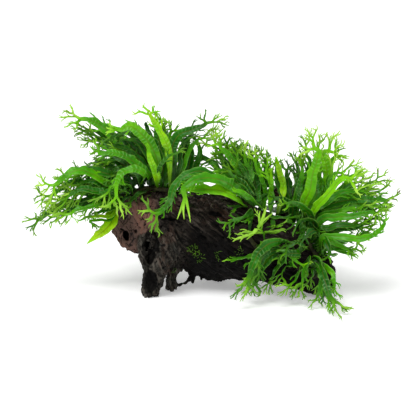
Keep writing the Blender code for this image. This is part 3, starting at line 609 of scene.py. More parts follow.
def growCrest(frond, arm, tips, half, forks):
    # the crest: an arm runs towards its tips and parts where they do
    if len(tips) == 1 and forks == 0:
        growArm(frond, arm, tips[0], (half, fernLook["tip"] / 2), 1.7)
        return
    if len(tips) == 1:
        frond.drift = frond.rng.uniform(-0.3, 0.12)
        growFinger(frond, arm, tips[0], half, forks)
        return
    center = sum(tips, Vector()) / len(tips)
    arm = growArm(frond, arm, arm[2].lerp(center, fernLook["partAt"]), (half, half * 0.85), 1.8)
    row, across, here, way, normal, along = arm
    tips = sorted(tips, key=lambda tip: (tip - here).normalized().dot(across))
    cut = (len(tips) + 1) // 2
    for part, group in zip(frond.parted(row), (tips[:cut], tips[cut:])):
        aim = (sum(group, Vector()) / len(group) - here).normalized()
        branch = (part, across, here, (way + aim * 1.6).normalized(), normal, along)
        growCrest(frond, branch, group, max(half * 0.66, fernLook["finger"] / 2 * frond.broad), forks)


def growEdgeShoots(frond, before, row, across, heading, normal, run):
    # forked shoots from the edges of the blade, leaning forwards
    rng = frond.rng
    for side, low, high in ((-1, before[0], row[0]), (1, row[-1], before[-1])):
        if rng.random() < 0.45:
            continue
        way = (across * side * rng.uniform(0.4, 0.9) + heading).normalized()
        here = (low.co + high.co) / 2
        lean = (way + normal * rng.uniform(-0.3, 0.4)).normalized()
        tip = here + lean * rng.uniform(*fernLook["edgeReach"])
        arm = ([low, high], heading * -side, here, way, normal, run)
        growFinger(frond, arm, tip, 0.85, 1)


def growFrond(frond, base, rise, course, tips, width, turn, upper, forks=2, edges=8):
    # a stalk and quilted blade along the course, then the crest
    look = fernLook
    spine = [base, base + rise * 3 + (course[0] - base).normalized() * 2] + course
    shares, length = evenShares(spine, look["spacing"])
    phase, bands = frond.rng.uniform(0, 6), length / look["quilt"]
    carried, row, across = upper, None, None
    for index, share in enumerate(shares):
        ahead, behind = curveAt(spine, min(share + 0.02, 1)), curveAt(spine, max(share - 0.02, 0))
        heading = (ahead - behind).normalized()
        pull = carried + upper * 0.12
        carried = (pull - pull.project(heading)).normalized()
        run = index / (len(shares) - 1)
        sway = look["sway"] * between(0.2, 0.6, run) * noise.noise(Vector((run * 4, phase * 3, 5)))
        normal = Matrix.Rotation(math.radians(turn + sway), 3, heading) @ carried
        newAcross = normal.cross(heading).normalized()
        spot, half = curveAt(spine, share), bladeHalf(share, width)
        band = bands * run + 0.5 * noise.noise(Vector((run * 8, phase, 0)))
        spots = []
        for number in range(edges + 1):
            side = 2 * number / edges - 1
            fullness = between(1.0, 3.5, half)
            crumple = Vector((run * length * 0.2, side * half * 0.3, phase * 9))
            lift = look["crinkle"] * fullness * noise.noise(crumple) * min(1, abs(side) * 3)
            lift -= look["trough"] * fullness * math.exp(-((side / 0.15) ** 2))
            lift += look["fold"] * half * (abs(side) - 0.6 * side * side)
            wave = noise.noise(Vector((run * length / look["wave"], 9 * (side > 0), phase * 5)))
            lift += look["ruffle"] * half * wave * side**4
            spots.append(spot + newAcross * half * side * (1 + 0.35 * wave) + normal * lift)
        if row is None:
            row = frond.start([spots[0], spots[-1]], edges - 1)
            for vert, place in zip(row, spots):
                vert.co = place
            before = None
        else:
            before, row = row, frond.extend(row, across, spots)
        across = newAcross
        stalk = 1 - between(0.1, 0.3, share)
        frond.mark(row, run, veins=band, age=frond.rng.uniform(0, 0.2), thick=stalk)
        if before and len(tips) > 1 and run > look["edgeShoots"] and index % 3 == 0:
            growEdgeShoots(frond, before, row, across, heading, normal, run)
    arm = (row, across, spot, heading, normal, 1.0)
    frond.span = max([22] + [(tip - spot).length * 0.75 for tip in tips])
    growCrest(frond, arm, tips, bladeHalf(1, width), forks)


def finishPiece(work, name, material, nodes=()):
    # a mesh in millimetres becomes a piece of the object
    bmesh.ops.recalc_face_normals(work, faces=work.faces[:])
    bmesh.ops.scale(work, vec=(mm, mm, mm), verts=work.verts[:])
    piece = newObject(name, meshOf(name, work))
    piece.data.materials.append(material)
    piece.data.shade_smooth()
    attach(piece, "root")
    if nodes:
        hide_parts(*nodes)
    return piece


def thicken(piece):
    # walls for a frond, thick at the midrib and in the stalk
    piece.vertex_groups.new(name="rib")
    wall = piece.modifiers.new("wall", "SOLIDIFY")
    wall.thickness = fernLook["rib"] * mm
    wall.offset = 0
    wall.vertex_group = "rib"
    wall.thickness_vertex_group = fernLook["blade"] / fernLook["rib"]


def cadVertices(name):
    # the corners of a CAD node, in millimetres
    return [vert.co / mm for vert in cadMesh(name).vertices]


stemTrees = {stem: searchTree(cadMesh("rhizome_" + stem)) for stem in ("left", "middle", "right", "low")}


def stemOf(name):
    # the creeping stem that a frond grows from
    kind, number = name.split("_")
    if kind == "rear":
        return ("left", "left", "left", "middle", "middle", "right")[int(number) - 1]
    return "left" if kind == "crown" else kind


def footOf(node, stem):
    # where a CAD frond leaves its stem, and the way it rises
    corners = cadVertices(node)
    nearest = [(stemTrees[stem].find_nearest(corner), corner) for corner in corners]
    closest = min(found[3] for found, corner in nearest)
    ends = {tuple(round(value, 3) for value in corner) for found, corner in nearest
            if found[3] < closest + 1.0}
    base = sum((Vector(end) for end in ends), Vector()) / len(ends)
    spot = stemTrees[stem].find_nearest(base)[0]
    return base, (base - spot).normalized()


def leanOf(node, base, tips):
    # how far a CAD frond was leaned nearer or further to clear its neighbours, as a turn
    corners = cadVertices(node)
    tree = KDTree(len(corners))
    for number, corner in enumerate(corners):
        tree.insert(corner, number)
    tree.balance()
    chord = (sum(tips, Vector()) / len(tips) - base).normalized()
    axis = chord.cross(Vector((0, 1, 0))).normalized()
    turns = [Matrix.Rotation(math.radians(angle), 3, axis) for angle in range(-24, 25, 2)]

    def miss(turn):
        return sum(tree.find(base + turn @ (tip - base))[2] for tip in tips)

    return min(turns, key=miss)


def tipSeen(tip, end, number):
    # a crest tip seen from the front, a little nearer or further than the crest's root
    back = end[2] + 5 * math.sin(2.4 * number + end[0])
    lowest = 1.2
    floorBack = (tip[1] - lowest * math.cos(viewTilt)) / math.sin(viewTilt)
    return seen(tip[0], tip[1], min(back, floorBack))


def tipPlaced(tip, end, number):
    return placed(*tip)


def makeFerns(material):
    rows = [(row, seen, tipSeen, fernLook["frontFacing"]) for row in frontFerns]
    rows += [(row, placed, tipPlaced, fernLook["upFacing"]) for row in rearFerns]
    for (name, width, turn, tone, course, tips), place, tipPlace, upper in rows:
        node = "frond_" + name
        base, rise = footOf(node, stemOf(name))
        ends = [tipPlace(tip, course[-1], number) for number, tip in enumerate(tips)]
        lean = leanOf(node, base, ends)
        points, ends = ([base + lean @ (spot - base) for spot in spots]
                        for spots in ([place(*point) for point in course], ends))
        forks, broad, age = crestKinds.get(name, (2, 1.0, 0.0))
        frond = Frond(name, tone, broad, age)
        growFrond(frond, base, rise, points, ends, width, turn, upper, forks)
        thicken(finishPiece(frond.work, "fern_" + name, material, [node]))


# The thicket: fronds that are only modelled here, in one piece for each stem
thicketLook = {
    # first neighbour, second, share of the way between them, how far it stands behind, change of tone
    # (mostly darker: partly a tone of their own, partly painted shade for fronds that stand behind)
    "between": [
        ("left_01", "left_02", 0.5, 4, -0.2), ("left_02", "left_04", 0.4, 6, -0.2),
        ("left_03", "left_04", 0.5, 8, -0.2), ("left_04", "left_06", 0.5, 8, -0.1),
        ("left_06", "left_07", 0.5, 8, -0.3), ("left_07", "left_08", 0.35, 10, -0.2),
        ("left_07", "left_08", 0.7, 6, -0.2), ("left_08", "left_09", 0.35, 6, -0.1),
        ("left_08", "left_10", 0.5, 4, -0.2), ("left_08", "left_10", 0.75, 10, -0.3),
        ("left_09", "left_10", 0.5, 6, -0.1), ("left_03", "crown_03", 0.5, 8, -0.3),
        ("crown_02", "crown_05", 0.5, 6, -0.2), ("crown_06", "crown_07", 0.6, 8, -0.3),
        ("left_14", "left_07", 0.5, 8, -0.3), ("left_14", "left_10", 0.6, 10, -0.2),
        ("middle_00", "middle_05", 0.4, 8, 0.1), ("middle_04", "middle_05", 0.5, 6, -0.2),
        ("middle_05", "middle_06", 0.5, 8, -0.3), ("middle_06", "middle_07", 0.5, 6, -0.3),
        ("middle_07", "middle_09", 0.4, 8, -0.2), ("middle_07", "middle_09", 0.75, 4, -0.2),
        ("middle_04", "middle_06", 0.4, 10, -0.3), ("middle_09", "middle_11", 0.5, 8, -0.4),
        ("right_01", "right_03", 0.4, 8, -0.3), ("right_01", "right_03", 0.75, 12, -0.3),
        ("right_03", "right_04", 0.4, 30, -0.2), ("right_04", "right_05", 0.7, 8, -0.3),
        ("right_05", "right_06", 0.5, 10, -0.3), ("right_06", "right_07", 0.5, 8, 0.0),
        ("right_05", "right_07", 0.5, 12, -0.2), ("right_07", "right_08", 0.4, 8, 0.1),
        ("right_07", "right_08", 0.7, 14, -0.3), ("right_08", "right_09", 0.5, 12, -0.3),
        ("right_08", "right_10", 0.6, 8, -0.1), ("right_09", "right_10", 0.5, 10, -0.2),
        ("low_01", "low_02", 0.6, 6, -0.2), ("low_02", "low_05", 0.4, 6, 0.0),
        ("low_05", "low_07", 0.4, 6, -0.1), ("low_06", "low_07", 0.5, 8, -0.2),
    ],
    "rear": [
        ("rear_01", "rear_02", 0.35, 0.9), ("rear_01", "rear_02", 0.7, 0.8),
        ("rear_02", "rear_03", 0.3, 0.85), ("rear_02", "rear_03", 0.7, 0.95),
        ("rear_04", "rear_05", 0.3, 0.8), ("rear_04", "rear_05", 0.6, 0.95),
        ("rear_05", "rear_06", 0.5, 0.85), ("rear_05", "rear_06", 0.8, 0.7),
    ],
    "rearTone": 0.3,
    "small": {"left": 30, "middle": 24, "right": 22, "low": 5},
    "smallReach": (16, 34),
}
Row = namedtuple("Row", "name width turn tone course tips")
allRows = {row[0]: Row(*row) for row in frontFerns + rearFerns}


def betweenRow(first, second, share, back, tone, early=False):
    # a row part of the way between two rows, a little shorter and narrower than they are;
    # where its crest starts early it makes a bush
    one, two = allRows[first], allRows[second]
    rng = random.Random(first + second + str(share))
    courses = [[Vector(point) for point in row.course] for row in (one, two)]
    course, stretch = [], 7.5 if early else 4.6
    for number in range(5):
        a, b = (curveAt(points, number / stretch) for points in courses)
        wave = Vector((rng.uniform(-2, 2), rng.uniform(-2, 2), rng.uniform(-2, 2) + back * number / 4))
        course.append(tuple(a.lerp(b, share) + wave))
    middles = [sum((Vector(tip).to_2d() for tip in row.tips), Vector((0, 0))) / len(row.tips)
               for row in (one, two)]
    near, lead = (one, middles[0]) if share < 0.5 else (two, middles[1])
    center = middles[0].lerp(middles[1], share)
    if early:
        center = center.lerp(Vector((course[-1][0], course[-1][1])), 0.35)
    tips = [tuple(center + (Vector(tip) - lead) * rng.uniform(0.7, 1.0)) for tip in near.tips]
    width = mixed(one.width, two.width, share) * 0.8
    # the change of tone is partly painted shade for a frond that stands behind
    shade = max(mixed(one.tone, two.tone, share) + tone, 0.12)
    return Row(first, width, rng.uniform(-25, 25), shade, course, tips), 1 if early else 2


def betweenRear(first, second, share, length):
    # the same for two of the rear rows, with true places
    one, two = allRows[first], allRows[second]
    rng = random.Random(first + str(share))
    course, tips = ([placed(*a).lerp(placed(*b), share) for a, b in zip(*pair)]
                    for pair in ((one.course, two.course), (one.tips, two.tips)))
    foot = course[0]
    course, tips = ([foot.lerp(spot, length) + Vector((rng.uniform(-4, 4), 0, rng.uniform(-2, 6)))
                     for spot in spots] for spots in (course, tips))
    return stemOf(first), one.width * 0.8, course, tips


def growSmall(frond, stem, rng):
    # a young frond that springs from the stem, outwards and over
    base, normal, *rest = stemTrees[stem].find_nearest(rng.choice(cadVertices("rhizome_" + stem)))
    aside = Vector((rng.uniform(-0.9, 0.9), rng.uniform(-0.9, 0.9), rng.uniform(0, 0.9)))
    spring = (normal + aside).normalized()
    if spring.z < -0.3:
        return False
    reach = rng.uniform(*thicketLook["smallReach"])
    fall = Vector((spring.x, spring.y, rng.uniform(-0.7, 0.3))).normalized()
    course = [base + spring * reach * 0.3, base + spring * reach * 0.6,
              base + spring * reach * 0.75 + fall * reach * 0.25]
    aside = spring.cross(Vector((0.1, 0.2, 1))).normalized()
    tips = [course[-1] + fall * reach * rng.uniform(0.25, 0.5) + aside * reach * spread
            for spread in (-0.2, 0.02, 0.22)[:rng.randint(2, 3)]]
    if min(spot.z for spot in tips + course) < 3 or any(spot.x > 116 and spot.z < 50 for spot in tips):
        return False
    growFrond(frond, base, spring, course, tips, rng.uniform(4, 7), 0, fernLook["upFacing"], 1, 4)
    return True


def makeThicket(material):
    look = thicketLook
    rows = [(Row(*row), 2) for row in extraFerns]
    for first, second, share, back, tone in look["between"]:
        rows.append(betweenRow(first, second, share, back, tone))
        rows.append(betweenRow(second, first, share, back * 0.4, tone, True))
    for stem, tree in stemTrees.items():
        parts = []
        for number, (row, forks) in enumerate(pair for pair in rows if stemOf(pair[0].name) == stem):
            points = [seen(*point) for point in row.course]
            spot = tree.find_nearest(points[0])[0]
            ends = [tipSeen(tip, row.course[-1], index) for index, tip in enumerate(row.tips)]
            frond = Frond(stem + str(number), row.tone)
            growFrond(frond, spot, (points[0] - spot).normalized(), points, ends, row.width, row.turn,
                      fernLook["frontFacing"], forks, 6)
            parts.append(frond.work)
        for stemName, width, course, tips in (betweenRear(*pair) for pair in look["rear"]):
            if stemName == stem:
                frond = Frond(stem + str(course[0]), look["rearTone"])
                spot, up = tree.find_nearest(course[0])[0], Vector((0, 0, 1))
                growFrond(frond, spot, up, course, tips, width, 0, fernLook["upFacing"], 2, 6)
                parts.append(frond.work)
        rng = random.Random(stem)
        for number in range(look["small"][stem]):
            frond = Frond(stem + str(number), rng.uniform(0.1, 0.6))
            if growSmall(frond, stem, rng):
                parts.append(frond.work)
        whole = parts[0]
        for part in parts[1:]:
            mesh = meshOf("part", part)
            whole.from_mesh(mesh)
            bpy.data.meshes.remove(mesh)
        thicken(finishPiece(whole, "thicket_" + stem, material))


# Driftwood: the seven CAD pieces and some knobs fused into one skin, then grained, cracked and pitted
woodLook = {
    "pieces": ["driftwood_log", "front_foot", "slit_shard", "second_root", "loop_root", "rear_root",
               "back_branch"],
    "fatten": 0.35,      # closes the hairlines between the CAD pieces before they are fused
    "voxel": 0.97,
    "grain": 1.5,        # depth of the grooves between the fibres
    "cracks": 2.4,
    "lumps": 1.1,
    "bark": 1.6,         # how rough the right end and the top left are
    "holes": 1.4,
    "smoothing": 0.12,
    "faceLooks": Vector((-0.68, -0.73, 0.05)),  # the broken left end
    # knobs and drips: across, height as seen, radius, how long they are drawn out downwards
    "knobs": [
        (-86, 95, 4, 1), (-79, 99, 4, 1), (-73, 104, 4.5, 0.8), (-68, 108, 4, 1), (-62, 110, 4, 0.9),
        (-56, 111, 6, 0.8), (-48, 112, 6, 0.8), (-39, 113, 6, 0.8), (-94, 84, 3.5, 1),
        (-17, 104, 6, 0.7), (-8, 104, 6, 0.7), (2, 103, 6, 0.7), (11, 102, 6, 0.7), (-96, 73, 3, 1),
        (-95, 62, 3, 1), (-90, 53, 3, 1), (-83, 48, 3, 1), (-76, 45, 3, 1), (-66, 38, 3, 1.6),
        (-67, 17, 3, 1.4), (-65, 9, 3, 1.2), (-17, 19, 4.4, 2.2), (-29, 27, 4.5, 0.8),
        (-24, 27, 4.5, 0.8), (-8, 20, 3.6, 1.3), (3, 20, 2.6, 1.3), (8, 17, 2.4, 2.4), (119, 30, 3, 1),
        (121, 22, 3, 1), (122, 14, 3, 1), (121, 6, 3, 1), (116, 36, 3, 1),
    ],
    # cracks and holes, darkened with painted shade: across, height as seen, half width, half height, tilt
    # in degrees, depth (0: painted shade only)
    "dents": [
        (-42, 78.5, 10, 1.6, -6, 3), (5, 83.5, 8, 2.2, -12, 3.5), (-75, 65.5, 1.6, 1.6, 0, 2.5),
        (-89, 67, 3, 1.3, -20, 3), (-85, 62, 2.6, 4.6, 12, 6), (-54.5, 55, 3.8, 11, 10, 9),
        (-58, 43, 4, 12, -16, 9), (20, 96, 7, 1.2, -8, 2), (-62, 88, 5, 1, -70, 2),
        (-30, 60, 9, 1.2, -62, 2), (-12, 66, 12, 1.1, -45, 2), (14, 62, 10, 1.1, -48, 2),
        (-60, 15, 8, 12, 0, 1.2), (100, 66, 9, 1.4, -20, 2.5), (-63.5, 49, 3.6, 18, -4, 0),
        (-6, 48, 26, 1.4, -64, 0), (4, 34, 22, 1.4, -80, 0), (22, 40, 20, 1.4, -72, 0),
    ],
    "tufts": [
        (-16, 47, 6, 34), (-11, 40, 5, 18), (6, 42, 5, 12), (30, 47, 5, 14), (-35, 27, 3, 8),
        (-73, 99, 7, 16), (-62, 104, 6, 12), (24, 37, 4, 6), (-86, 92, 4, 6),
    ],
}


def fibresOf(place):
    # how far along and across the grain a spot lies: as the log's fibres run, and as the foot's do
    x, y, z = place
    fall = 0.85 * x - 8.2 * math.log(1 + math.exp((x - 30) / 15))
    log = Vector((x * 0.09, y * 0.8, z + fall))
    foot = Vector((z * 0.09, x + 0.25 * z + 0.002 * z * z, y * 0.8 + 0.12 * z))
    share = between(84, 60, z) * between(-16, -36, x) * between(6, -8, y)
    return log, foot, share


def grooves(fibre):
    # fibres stand out, with creases between them that also get painted shade
    wide, fine = noise.noise(fibre * 0.2), noise.noise(fibre * 0.5 + Vector((3, 1, 4)))
    crease = max(math.exp(-((wide / 0.07) ** 2)), 0.7 * math.exp(-((fine / 0.1) ** 2)))
    return abs(wide) * 1.6 + abs(fine) * 0.6 - crease * 0.9 - 0.25, crease


def dentAt(place, normal):
    # the deepest of the cracks and holes seen from the front, and the painted shade in them
    if normal.y > 0.3:
        return 0.0, 0.0
    deepest, dark = 0.0, 0.0
    for x, z, halfWidth, halfHeight, tilt, depth in woodLook["dents"]:
        angle = math.radians(tilt)
        aside, above = place.x - x, heightSeen(place) - z
        run = aside * math.cos(angle) + above * math.sin(angle)
        rise = above * math.cos(angle) - aside * math.sin(angle)
        off = math.hypot(run / halfWidth, rise / halfHeight) + 0.3 * noise.noise(place * 0.3)
        share = between(1.3, 0.6, off)
        deepest, dark = max(deepest, share * depth), max(dark, share * (1 if depth else 0.6))
    return deepest, dark


def woodRise(place, normal, face):
    # how far a spot of the wood's skin stands out, and how much painted shade its hollow gets
    log, foot, share = fibresOf(place)
    (logRise, logCrease), (footRise, footCrease) = grooves(log), grooves(foot)
    crease = mixed(logCrease, footCrease, share) * (1 - 0.8 * face)
    rise = mixed(logRise, footRise, share) * woodLook["grain"] * (1 - 0.9 * face)
    split = noise.noise(mixed(log, foot, share) * 0.09 + Vector((7, 3, 1)))
    patch = noise.noise(place * 0.04 + Vector((0, 9, 0)))
    split = math.exp(-((split / 0.04) ** 2)) * between(-0.1, 0.2, patch)
    # the broken end is cracked in all directions
    cells = noise.voronoi((place + noise.noise_vector(place * 0.15) * 4) * 0.115)[0]
    split = mixed(split, between(0.09, 0.0, cells[1] - cells[0]), face)
    rise -= split * woodLook["cracks"] * (1 - 0.6 * face)
    lump = noise.noise(place * 0.1) * 1.3 + noise.noise(place * 0.25) * 0.8
    rise += (lump - 0.5) * woodLook["lumps"] * (1 - 0.5 * face)
    bark = between(106, 114, place.x) + between(90, 98, place.z) * between(-50, -60, place.x)
    rise += bark * woodLook["bark"] * (1 - 2 * noise.voronoi(place * 0.3)[0][0])
    hole = between(0.42, 0.56, noise.noise(place * 0.33 + Vector((20, 0, 0))))
    depth, dark = dentAt(place, normal)
    hole *= 1 - 0.7 * face
    return rise - hole * woodLook["holes"], depth, max(split, hole, dark, crease * 0.8)


def knobSpots():
    # where each knob lies: on the wood, as near as its line of sight comes to it
    tree = searchTree(*(cadMesh(name) for name in woodLook["pieces"]))
    for across, up, radius, drawn in woodLook["knobs"]:
        line = [seen(across, up, back) for back in range(-60, 100, 2)]
        line = [spot for spot in line if spot.z > 1]
        spot = min(line, key=lambda spot: tree.find_nearest(spot)[3])
        yield tree.find_nearest(spot)[0], radius * 0.8, drawn


def fusedCopy(names, fatten, voxel, knobs=()):
    # copies of CAD nodes merged, swelled a little and remeshed as one skin, with knobs on it
    work = bmesh.new()
    for name in names:
        work.from_mesh(cadMesh(name))
    bmesh.ops.remove_doubles(work, verts=work.verts[:], dist=1e-6)
    work.normal_update()
    for vert in work.verts:
        vert.co += vert.normal * fatten * mm
    for spot, radius, drawn in knobs:
        shape = Matrix.Translation(spot * mm) @ Matrix.Diagonal((1, 1, drawn, 1))
        bmesh.ops.create_icosphere(work, subdivisions=2, radius=radius * mm, matrix=shape)
    thing = newObject("fusing", meshOf("fusing", work))
    remesh = thing.modifiers.new("fuse", "REMESH")
    remesh.mode = "VOXEL"
    remesh.voxel_size = voxel * mm
    bpy.context.view_layer.update()
    fused = bpy.data.meshes.new_from_object(thing.evaluated_get(bpy.context.evaluated_depsgraph_get()))
    bpy.data.objects.remove(thing)
    work = inMillimetres(fused)
    bpy.data.meshes.remove(fused)
    keepLargest(work)
    work.normal_update()
    return work


def keepLargest(work, bubble=400):
    # drop the bubbles that remeshing leaves in closed gaps, which have fewer corners than this
    left, shells = set(work.verts), []
    while left:
        shell, queue = set(), [left.pop()]
        while queue:
            vert = queue.pop()
            shell.add(vert)
            for edge in vert.link_edges:
                other = edge.other_vert(vert)
                if other in left:
                    left.discard(other)
                    queue.append(other)
        shells.append(shell)
    largest = max(shells, key=len)
    small = [vert for shell in shells if shell is not largest and len(shell) < bubble for vert in shell]
    bmesh.ops.delete(work, geom=small, context="VERTS")


# hollow carries painted shade in cracks, holes and creases; low carries painted shade under the log
woodMarks = ("face", "hollow", "moss", "low", "footward")


def makeWood(material):
    look = woodLook
    work = fusedCopy(look["pieces"], look["fatten"], look["voxel"], knobSpots())
    marks = {name: work.verts.layers.float.new(name) for name in woodMarks}
    runs = {name: work.verts.layers.float_vector.new(name) for name in ("logFibre", "footFibre")}
    moved = []
    for vert in work.verts:
        place, normal = vert.co, vert.normal
        up = heightSeen(place)
        face = between(0.35, 0.7, normal.dot(look["faceLooks"]))
        edge = mixed(-71, -50, between(60, 70, up))
        face *= between(edge, edge - 5, place.x)
        branch = between(56, 62, place.x) * between(84, 90, place.z) * between(86, 82, place.x)
        rise, depth, hollow = woodRise(place, normal, face)
        top = between(0.6, 0.95, normal.z) * between(60, 75, place.z)
        log, foot, share = fibresOf(place)
        # painted shade: darker where the skin faces down and towards the bottom of the log, less on the
        # foot
        low = max(between(-0.1, -0.7, normal.z), between(96, 50, place.z + 0.2 * place.x))
        low *= 1 - share * between(-0.9, -0.5, normal.z) * 0.9
        vert[marks["face"]] = max(face * mixed(1, 0.5, between(84, 100, up)), branch * 0.8)
        # painted shade in cracks, holes and creases
        vert[marks["hollow"]] = hollow
        vert[marks["moss"]] = 0.5 * top * between(-0.1, 0.4, noise.noise(place * 0.08))
        # the painted shade is strongest on the side facing the camera
        vert[marks["low"]] = low * mixed(0.4, 1, between(0.4, -0.2, normal.y))
        vert[marks["footward"]], vert[runs["logFibre"]], vert[runs["footFibre"]] = share, log, foot
        moved.append(place + normal * (rise - look["fatten"]) + sight * depth)
    moveAll(work, moved, look["smoothing"])
    for vert in work.verts:
        vert.co.z = max(vert.co.z, 0.0)
    print("driftwood:", len(work.faces), "faces")
    return finishPiece(work, "driftwood", material, look["pieces"])


woodPaint = {
    "dark": paint(22, 18, 15),
    "middle": paint(56, 49, 42),
    "pale": paint(92, 85, 78),
    "olive": paint(76, 76, 70),
    "red": paint(84, 50, 36),
    # painted shade for the underside and the bottom of the log
    "low": paint(8, 7, 6),
    "face": paint(98, 75, 67),
    "faceDark": paint(68, 54, 49),
    "faceRed": paint(128, 88, 74),
    # near black: the dark grain lines, and painted shade in cracks, holes and creases
    "crease": paint(5, 4, 3),
    "moss": paint(58, 84, 30),
    "roughness": 0.5,
    "grainHeight": 0.0012,
}


def woodMaterial():
    look = woodPaint
    material, tree, shader = newMaterial("weatheredDriftwood", Specular_IOR_Level=0.1)
    face, hollow, moss, low, footward = (attribute(tree, key) for key in woodMarks)

    def fibres(scale, detail):
        # noise drawn out along the grain
        both = []
        for key in ("logFibre", "footFibre"):
            sockets = {"Vector": attribute(tree, key, "Vector"), "Scale": scale, "Detail": detail,
                       "Roughness": 0.6}
            both.append(addNode(tree, "ShaderNodeTexNoise", {}, sockets, "Fac"))
        return both[0] + (both[1] - both[0]) * footward

    streak, thin = fibres(0.28, 4), fibres(1.1, 2)
    cloud = grainNoise(tree, 28, detail=3)
    speckle = grainNoise(tree, 500, detail=3)
    tone = streak * 0.6 + thin * 0.2 + cloud * 0.25 + speckle * 0.1
    shade = ramp(tone, (0.48, look["dark"]), (0.58, look["middle"]), (0.7, look["pale"]))
    shade = blend(step(thin, 0.35, 0.65) * footward * 0.65, shade, look["olive"])
    shade = blend(step(grainNoise(tree, 40, detail=2), 0.52, 0.7) * 0.4, shade, look["red"])
    # painted shade under the log and towards its bottom
    shade = blend(low * 0.93, shade, look["low"])
    faceTone = cloud * 0.75 + speckle * 0.15 + thin * 0.1
    faceShade = ramp(faceTone, (0.36, look["faceDark"]), (0.5, look["face"]), (0.62, look["faceRed"]))
    shade = blend(face, shade, faceShade)
    lines = step(abs(streak - 0.5), 0.028, 0.0) * (1 - face)
    shade = blend(lines * 0.85, shade, look["crease"])
    # painted shade in cracks, holes and creases
    shade = blend(step(hollow, 0.15, 0.8) * 0.92, shade, look["crease"])
    mossShare = step(moss + (speckle - 0.5) * 0.9, 0.35, 0.8) * 0.7
    shade = blend(mossShare, shade, look["moss"])
    feed(shader, "Base Color", shade)
    feed(shader, "Roughness", streak * 0.3 + look["roughness"])
    bumped(shader, streak * 0.7 + thin * 0.4 + speckle * 0.15 - lines * 0.4, look["grainHeight"], 0.9)
    return material


# Creeping stems: the CAD stems fused to a fine skin and made scaly, with thin dark roots over the wood
stemLook = {
    "fatten": 0.1,
    "voxel": 0.55,
    "smoothing": 0.4,
    "scale": 0.55,       # how far the scales stand out
    "roots": {"left": 26, "middle": 20, "right": 18, "low": 20},
    "rootRadius": 0.28,
    "rootSteps": 14,
    "rootStep": 1.9,
    "mossRadius": 0.34,
    "mossStep": 0.9,
}


def makeStems(material):
    for stem in stemTrees:
        work = fusedCopy(["rhizome_" + stem], stemLook["fatten"], stemLook["voxel"])
        mark = work.verts.layers.float.new("scaly")
        moved = []
        for vert in work.verts:
            scales = noise.voronoi(vert.co * 0.55)[0]
            height = 0.5 - (scales[1] - scales[0] < 0.12) * 0.5 + noise.noise(vert.co * 1.3) * 0.5
            vert[mark] = height
            moved.append(vert.co + vert.normal * (height * stemLook["scale"] - 0.2))
        moveAll(work, moved, stemLook["smoothing"])
        finishPiece(work, "stem_" + stem, material, ["rhizome_" + stem])


def growTube(work, spots, outs, radii, sides=5):
    # a thin tube through the spots; outs say which way its top looks
    turn = work.verts.layers.float["turn"]
    ring = bmesh.ops.create_circle(work, cap_ends=True, segments=sides, radius=1)["verts"]
    for vert in ring:
        vert[turn] = math.atan2(vert.co.y, vert.co.x)
    edges = list({edge for vert in ring for edge in vert.link_edges})
    for index, (spot, out, radius) in enumerate(zip(spots, outs, radii)):
        heading = (spots[min(index + 1, len(spots) - 1)] - spots[max(index - 1, 0)]).normalized()
        if index:
            made = bmesh.ops.extrude_edge_only(work, edges=edges)["geom"]
            ring = [item for item in made if isinstance(item, bmesh.types.BMVert)]
            edges = [item for item in made if isinstance(item, bmesh.types.BMEdge)]
            edges = [edge for edge in edges if edge.verts[0] in ring and edge.verts[1] in ring]
        across = out.cross(heading).normalized()
        top = heading.cross(across)
        for vert in ring:
            vert.co = spot + (across * math.cos(vert[turn]) + top * math.sin(vert[turn])) * radius
    bmesh.ops.edgeloop_fill(work, edges=edges)


def tapering(radius, loss, count):
    return [radius * (1 - loss * index / count) for index in range(count)]


def makeMoss(material, tree):
    # tufts of moss on the front of the wood, each of short curled strands
    look = stemLook
    rng = random.Random("moss")
    work = bmesh.new()
    work.verts.layers.float.new("turn")
    for across, up, size, count in woodLook["tufts"]:
        for number in range(count):
            angle, reach = rng.uniform(0, 2 * math.pi), size * math.sqrt(rng.random())
            start = seen(across + reach * math.cos(angle), up + reach * math.sin(angle), 0) - sight * 150
            spot, normal, *rest = tree.ray_cast(start, sight)
            if spot is None:
                continue
            heading = (Vector((rng.uniform(-1, 1), -0.3, rng.uniform(-1, 1))) + normal * 0.5).normalized()
            spots = [spot - normal * 0.3]
            for index in range(rng.randint(3, 5)):
                spots.append(spots[-1] + heading * look["mossStep"])
                heading = (heading + Vector(rng.uniform(-0.6, 0.6) for axis in range(3))).normalized()
            growTube(work, spots, [normal] * len(spots), tapering(look["mossRadius"], 0.7, len(spots)), 4)
    return finishPiece(work, "moss", material)


def makeRoots(material, tree):
    # thin roots that creep from each stem over the wood
    look = stemLook
    rng = random.Random("roots")
    work = bmesh.new()
    work.verts.layers.float.new("turn")
    for stem, count in look["roots"].items():
        corners = cadVertices("rhizome_" + stem)
        for index in range(count):
            spot, normal, *rest = tree.find_nearest(rng.choice(corners))
            heading = Vector((rng.uniform(-1, 1), rng.uniform(-1, 0.6), rng.uniform(-1, 0.2)))
            spots, outs = [], []
            for number in range(rng.randint(6, look["rootSteps"])):
                spots.append(spot + normal * 0.15)
                outs.append(normal.copy())
                heading = (heading - heading.project(normal)).normalized()
                spot, normal, *rest = tree.find_nearest(spot + heading * look["rootStep"])
                heading += Vector((rng.uniform(-1, 1), rng.uniform(-1, 1), rng.uniform(-1, 0.6))) * 0.45
            growTube(work, spots, outs, tapering(look["rootRadius"], 0.75, len(spots)))
    return finishPiece(work, "roots", material)


def stemMaterial(name="scalyStem", dark=paint(22, 22, 10), pale=paint(56, 58, 26)):
    material, tree, shader = newMaterial(name, Specular_IOR_Level=0.2)
    patches = grainNoise(tree, 160, detail=3)
    fine = grainNoise(tree, 700, detail=2)
    feed(shader, "Base Color", ramp(patches * 0.7 + fine * 0.3, (0.35, dark), (0.65, pale)))
    feed(shader, "Roughness", fine * 0.3 + 0.5)
    bumped(shader, patches * 0.5 + fine * 0.5, 0.0003, 0.6)
    return material


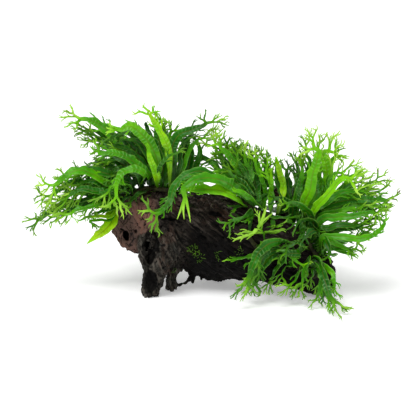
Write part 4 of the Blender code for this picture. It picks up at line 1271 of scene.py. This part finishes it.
# Floor, light and camera
stageLook = {
    "floorSize": 6,
    "floorColour": (0.93, 0.93, 0.93, 1),
    "floorGlow": 0.28,   # keeps the shadow pale
    "distance": 1.5,
    "aim": Vector((0, 0, 0.0828)),  # the middle of the picture
    "photoSide": 0.420,  # metres that the picture takes in at the origin
    "sensor": 36,
    "world": 0.48,
    # where from, width in degrees, strength
    "suns": [("key", (-0.45, -0.5, 1.2), 34, 2.1), ("fill", (0.9, -0.9, 0.8), 80, 0.5)],
}


def makeStage():
    look = stageLook
    work = bmesh.new()
    bmesh.ops.create_grid(work, x_segments=1, y_segments=1, size=look["floorSize"])
    floor = newObject("floor", meshOf("floor", work))
    material, tree, shader = newMaterial("paleFloor", Base_Color=look["floorColour"], Roughness=0.9,
                                         Emission_Color=(1, 1, 1, 1), Emission_Strength=look["floorGlow"])
    floor.data.materials.append(material)
    world = bpy.data.worlds.new("studio")
    bpy.context.scene.world = world
    world.use_nodes = True
    background = world.node_tree.nodes["Background"]
    background.inputs["Color"].default_value = (1, 1, 1, 1)
    background.inputs["Strength"].default_value = look["world"]
    for name, place, width, power in look["suns"]:
        light = bpy.data.lights.new(name, "SUN")
        light.angle, light.energy = math.radians(width), power
        lamp = newObject(name, light)
        lamp.location = place
        lamp.rotation_euler = Vector(place).to_track_quat("Z", "Y").to_euler()
    camera = bpy.data.cameras.new("camera")
    camera.sensor_width = look["sensor"]
    camera.lens = look["sensor"] * look["distance"] / look["photoSide"]
    eye = newObject("camera", camera)
    eye.location = look["aim"] - sight * look["distance"]
    eye.rotation_euler = (math.pi / 2 - viewTilt, 0, 0)
    bpy.context.scene.camera = eye
    bpy.context.scene.view_settings.view_transform = "Standard"


makeStage()
wood = makeWood(woodMaterial())
print("driftwood made")
makeStems(stemMaterial())
woodTree = searchTree(wood.data)
makeRoots(stemMaterial("darkRoot", paint(20, 16, 12), paint(54, 44, 30)), woodTree)
makeMoss(stemMaterial("moss", paint(40, 72, 16), paint(96, 140, 36)), woodTree)
print("stems and roots made")
leaf = leafMaterial()
makeFerns(leaf)
makeThicket(leaf)
print("ferns made")
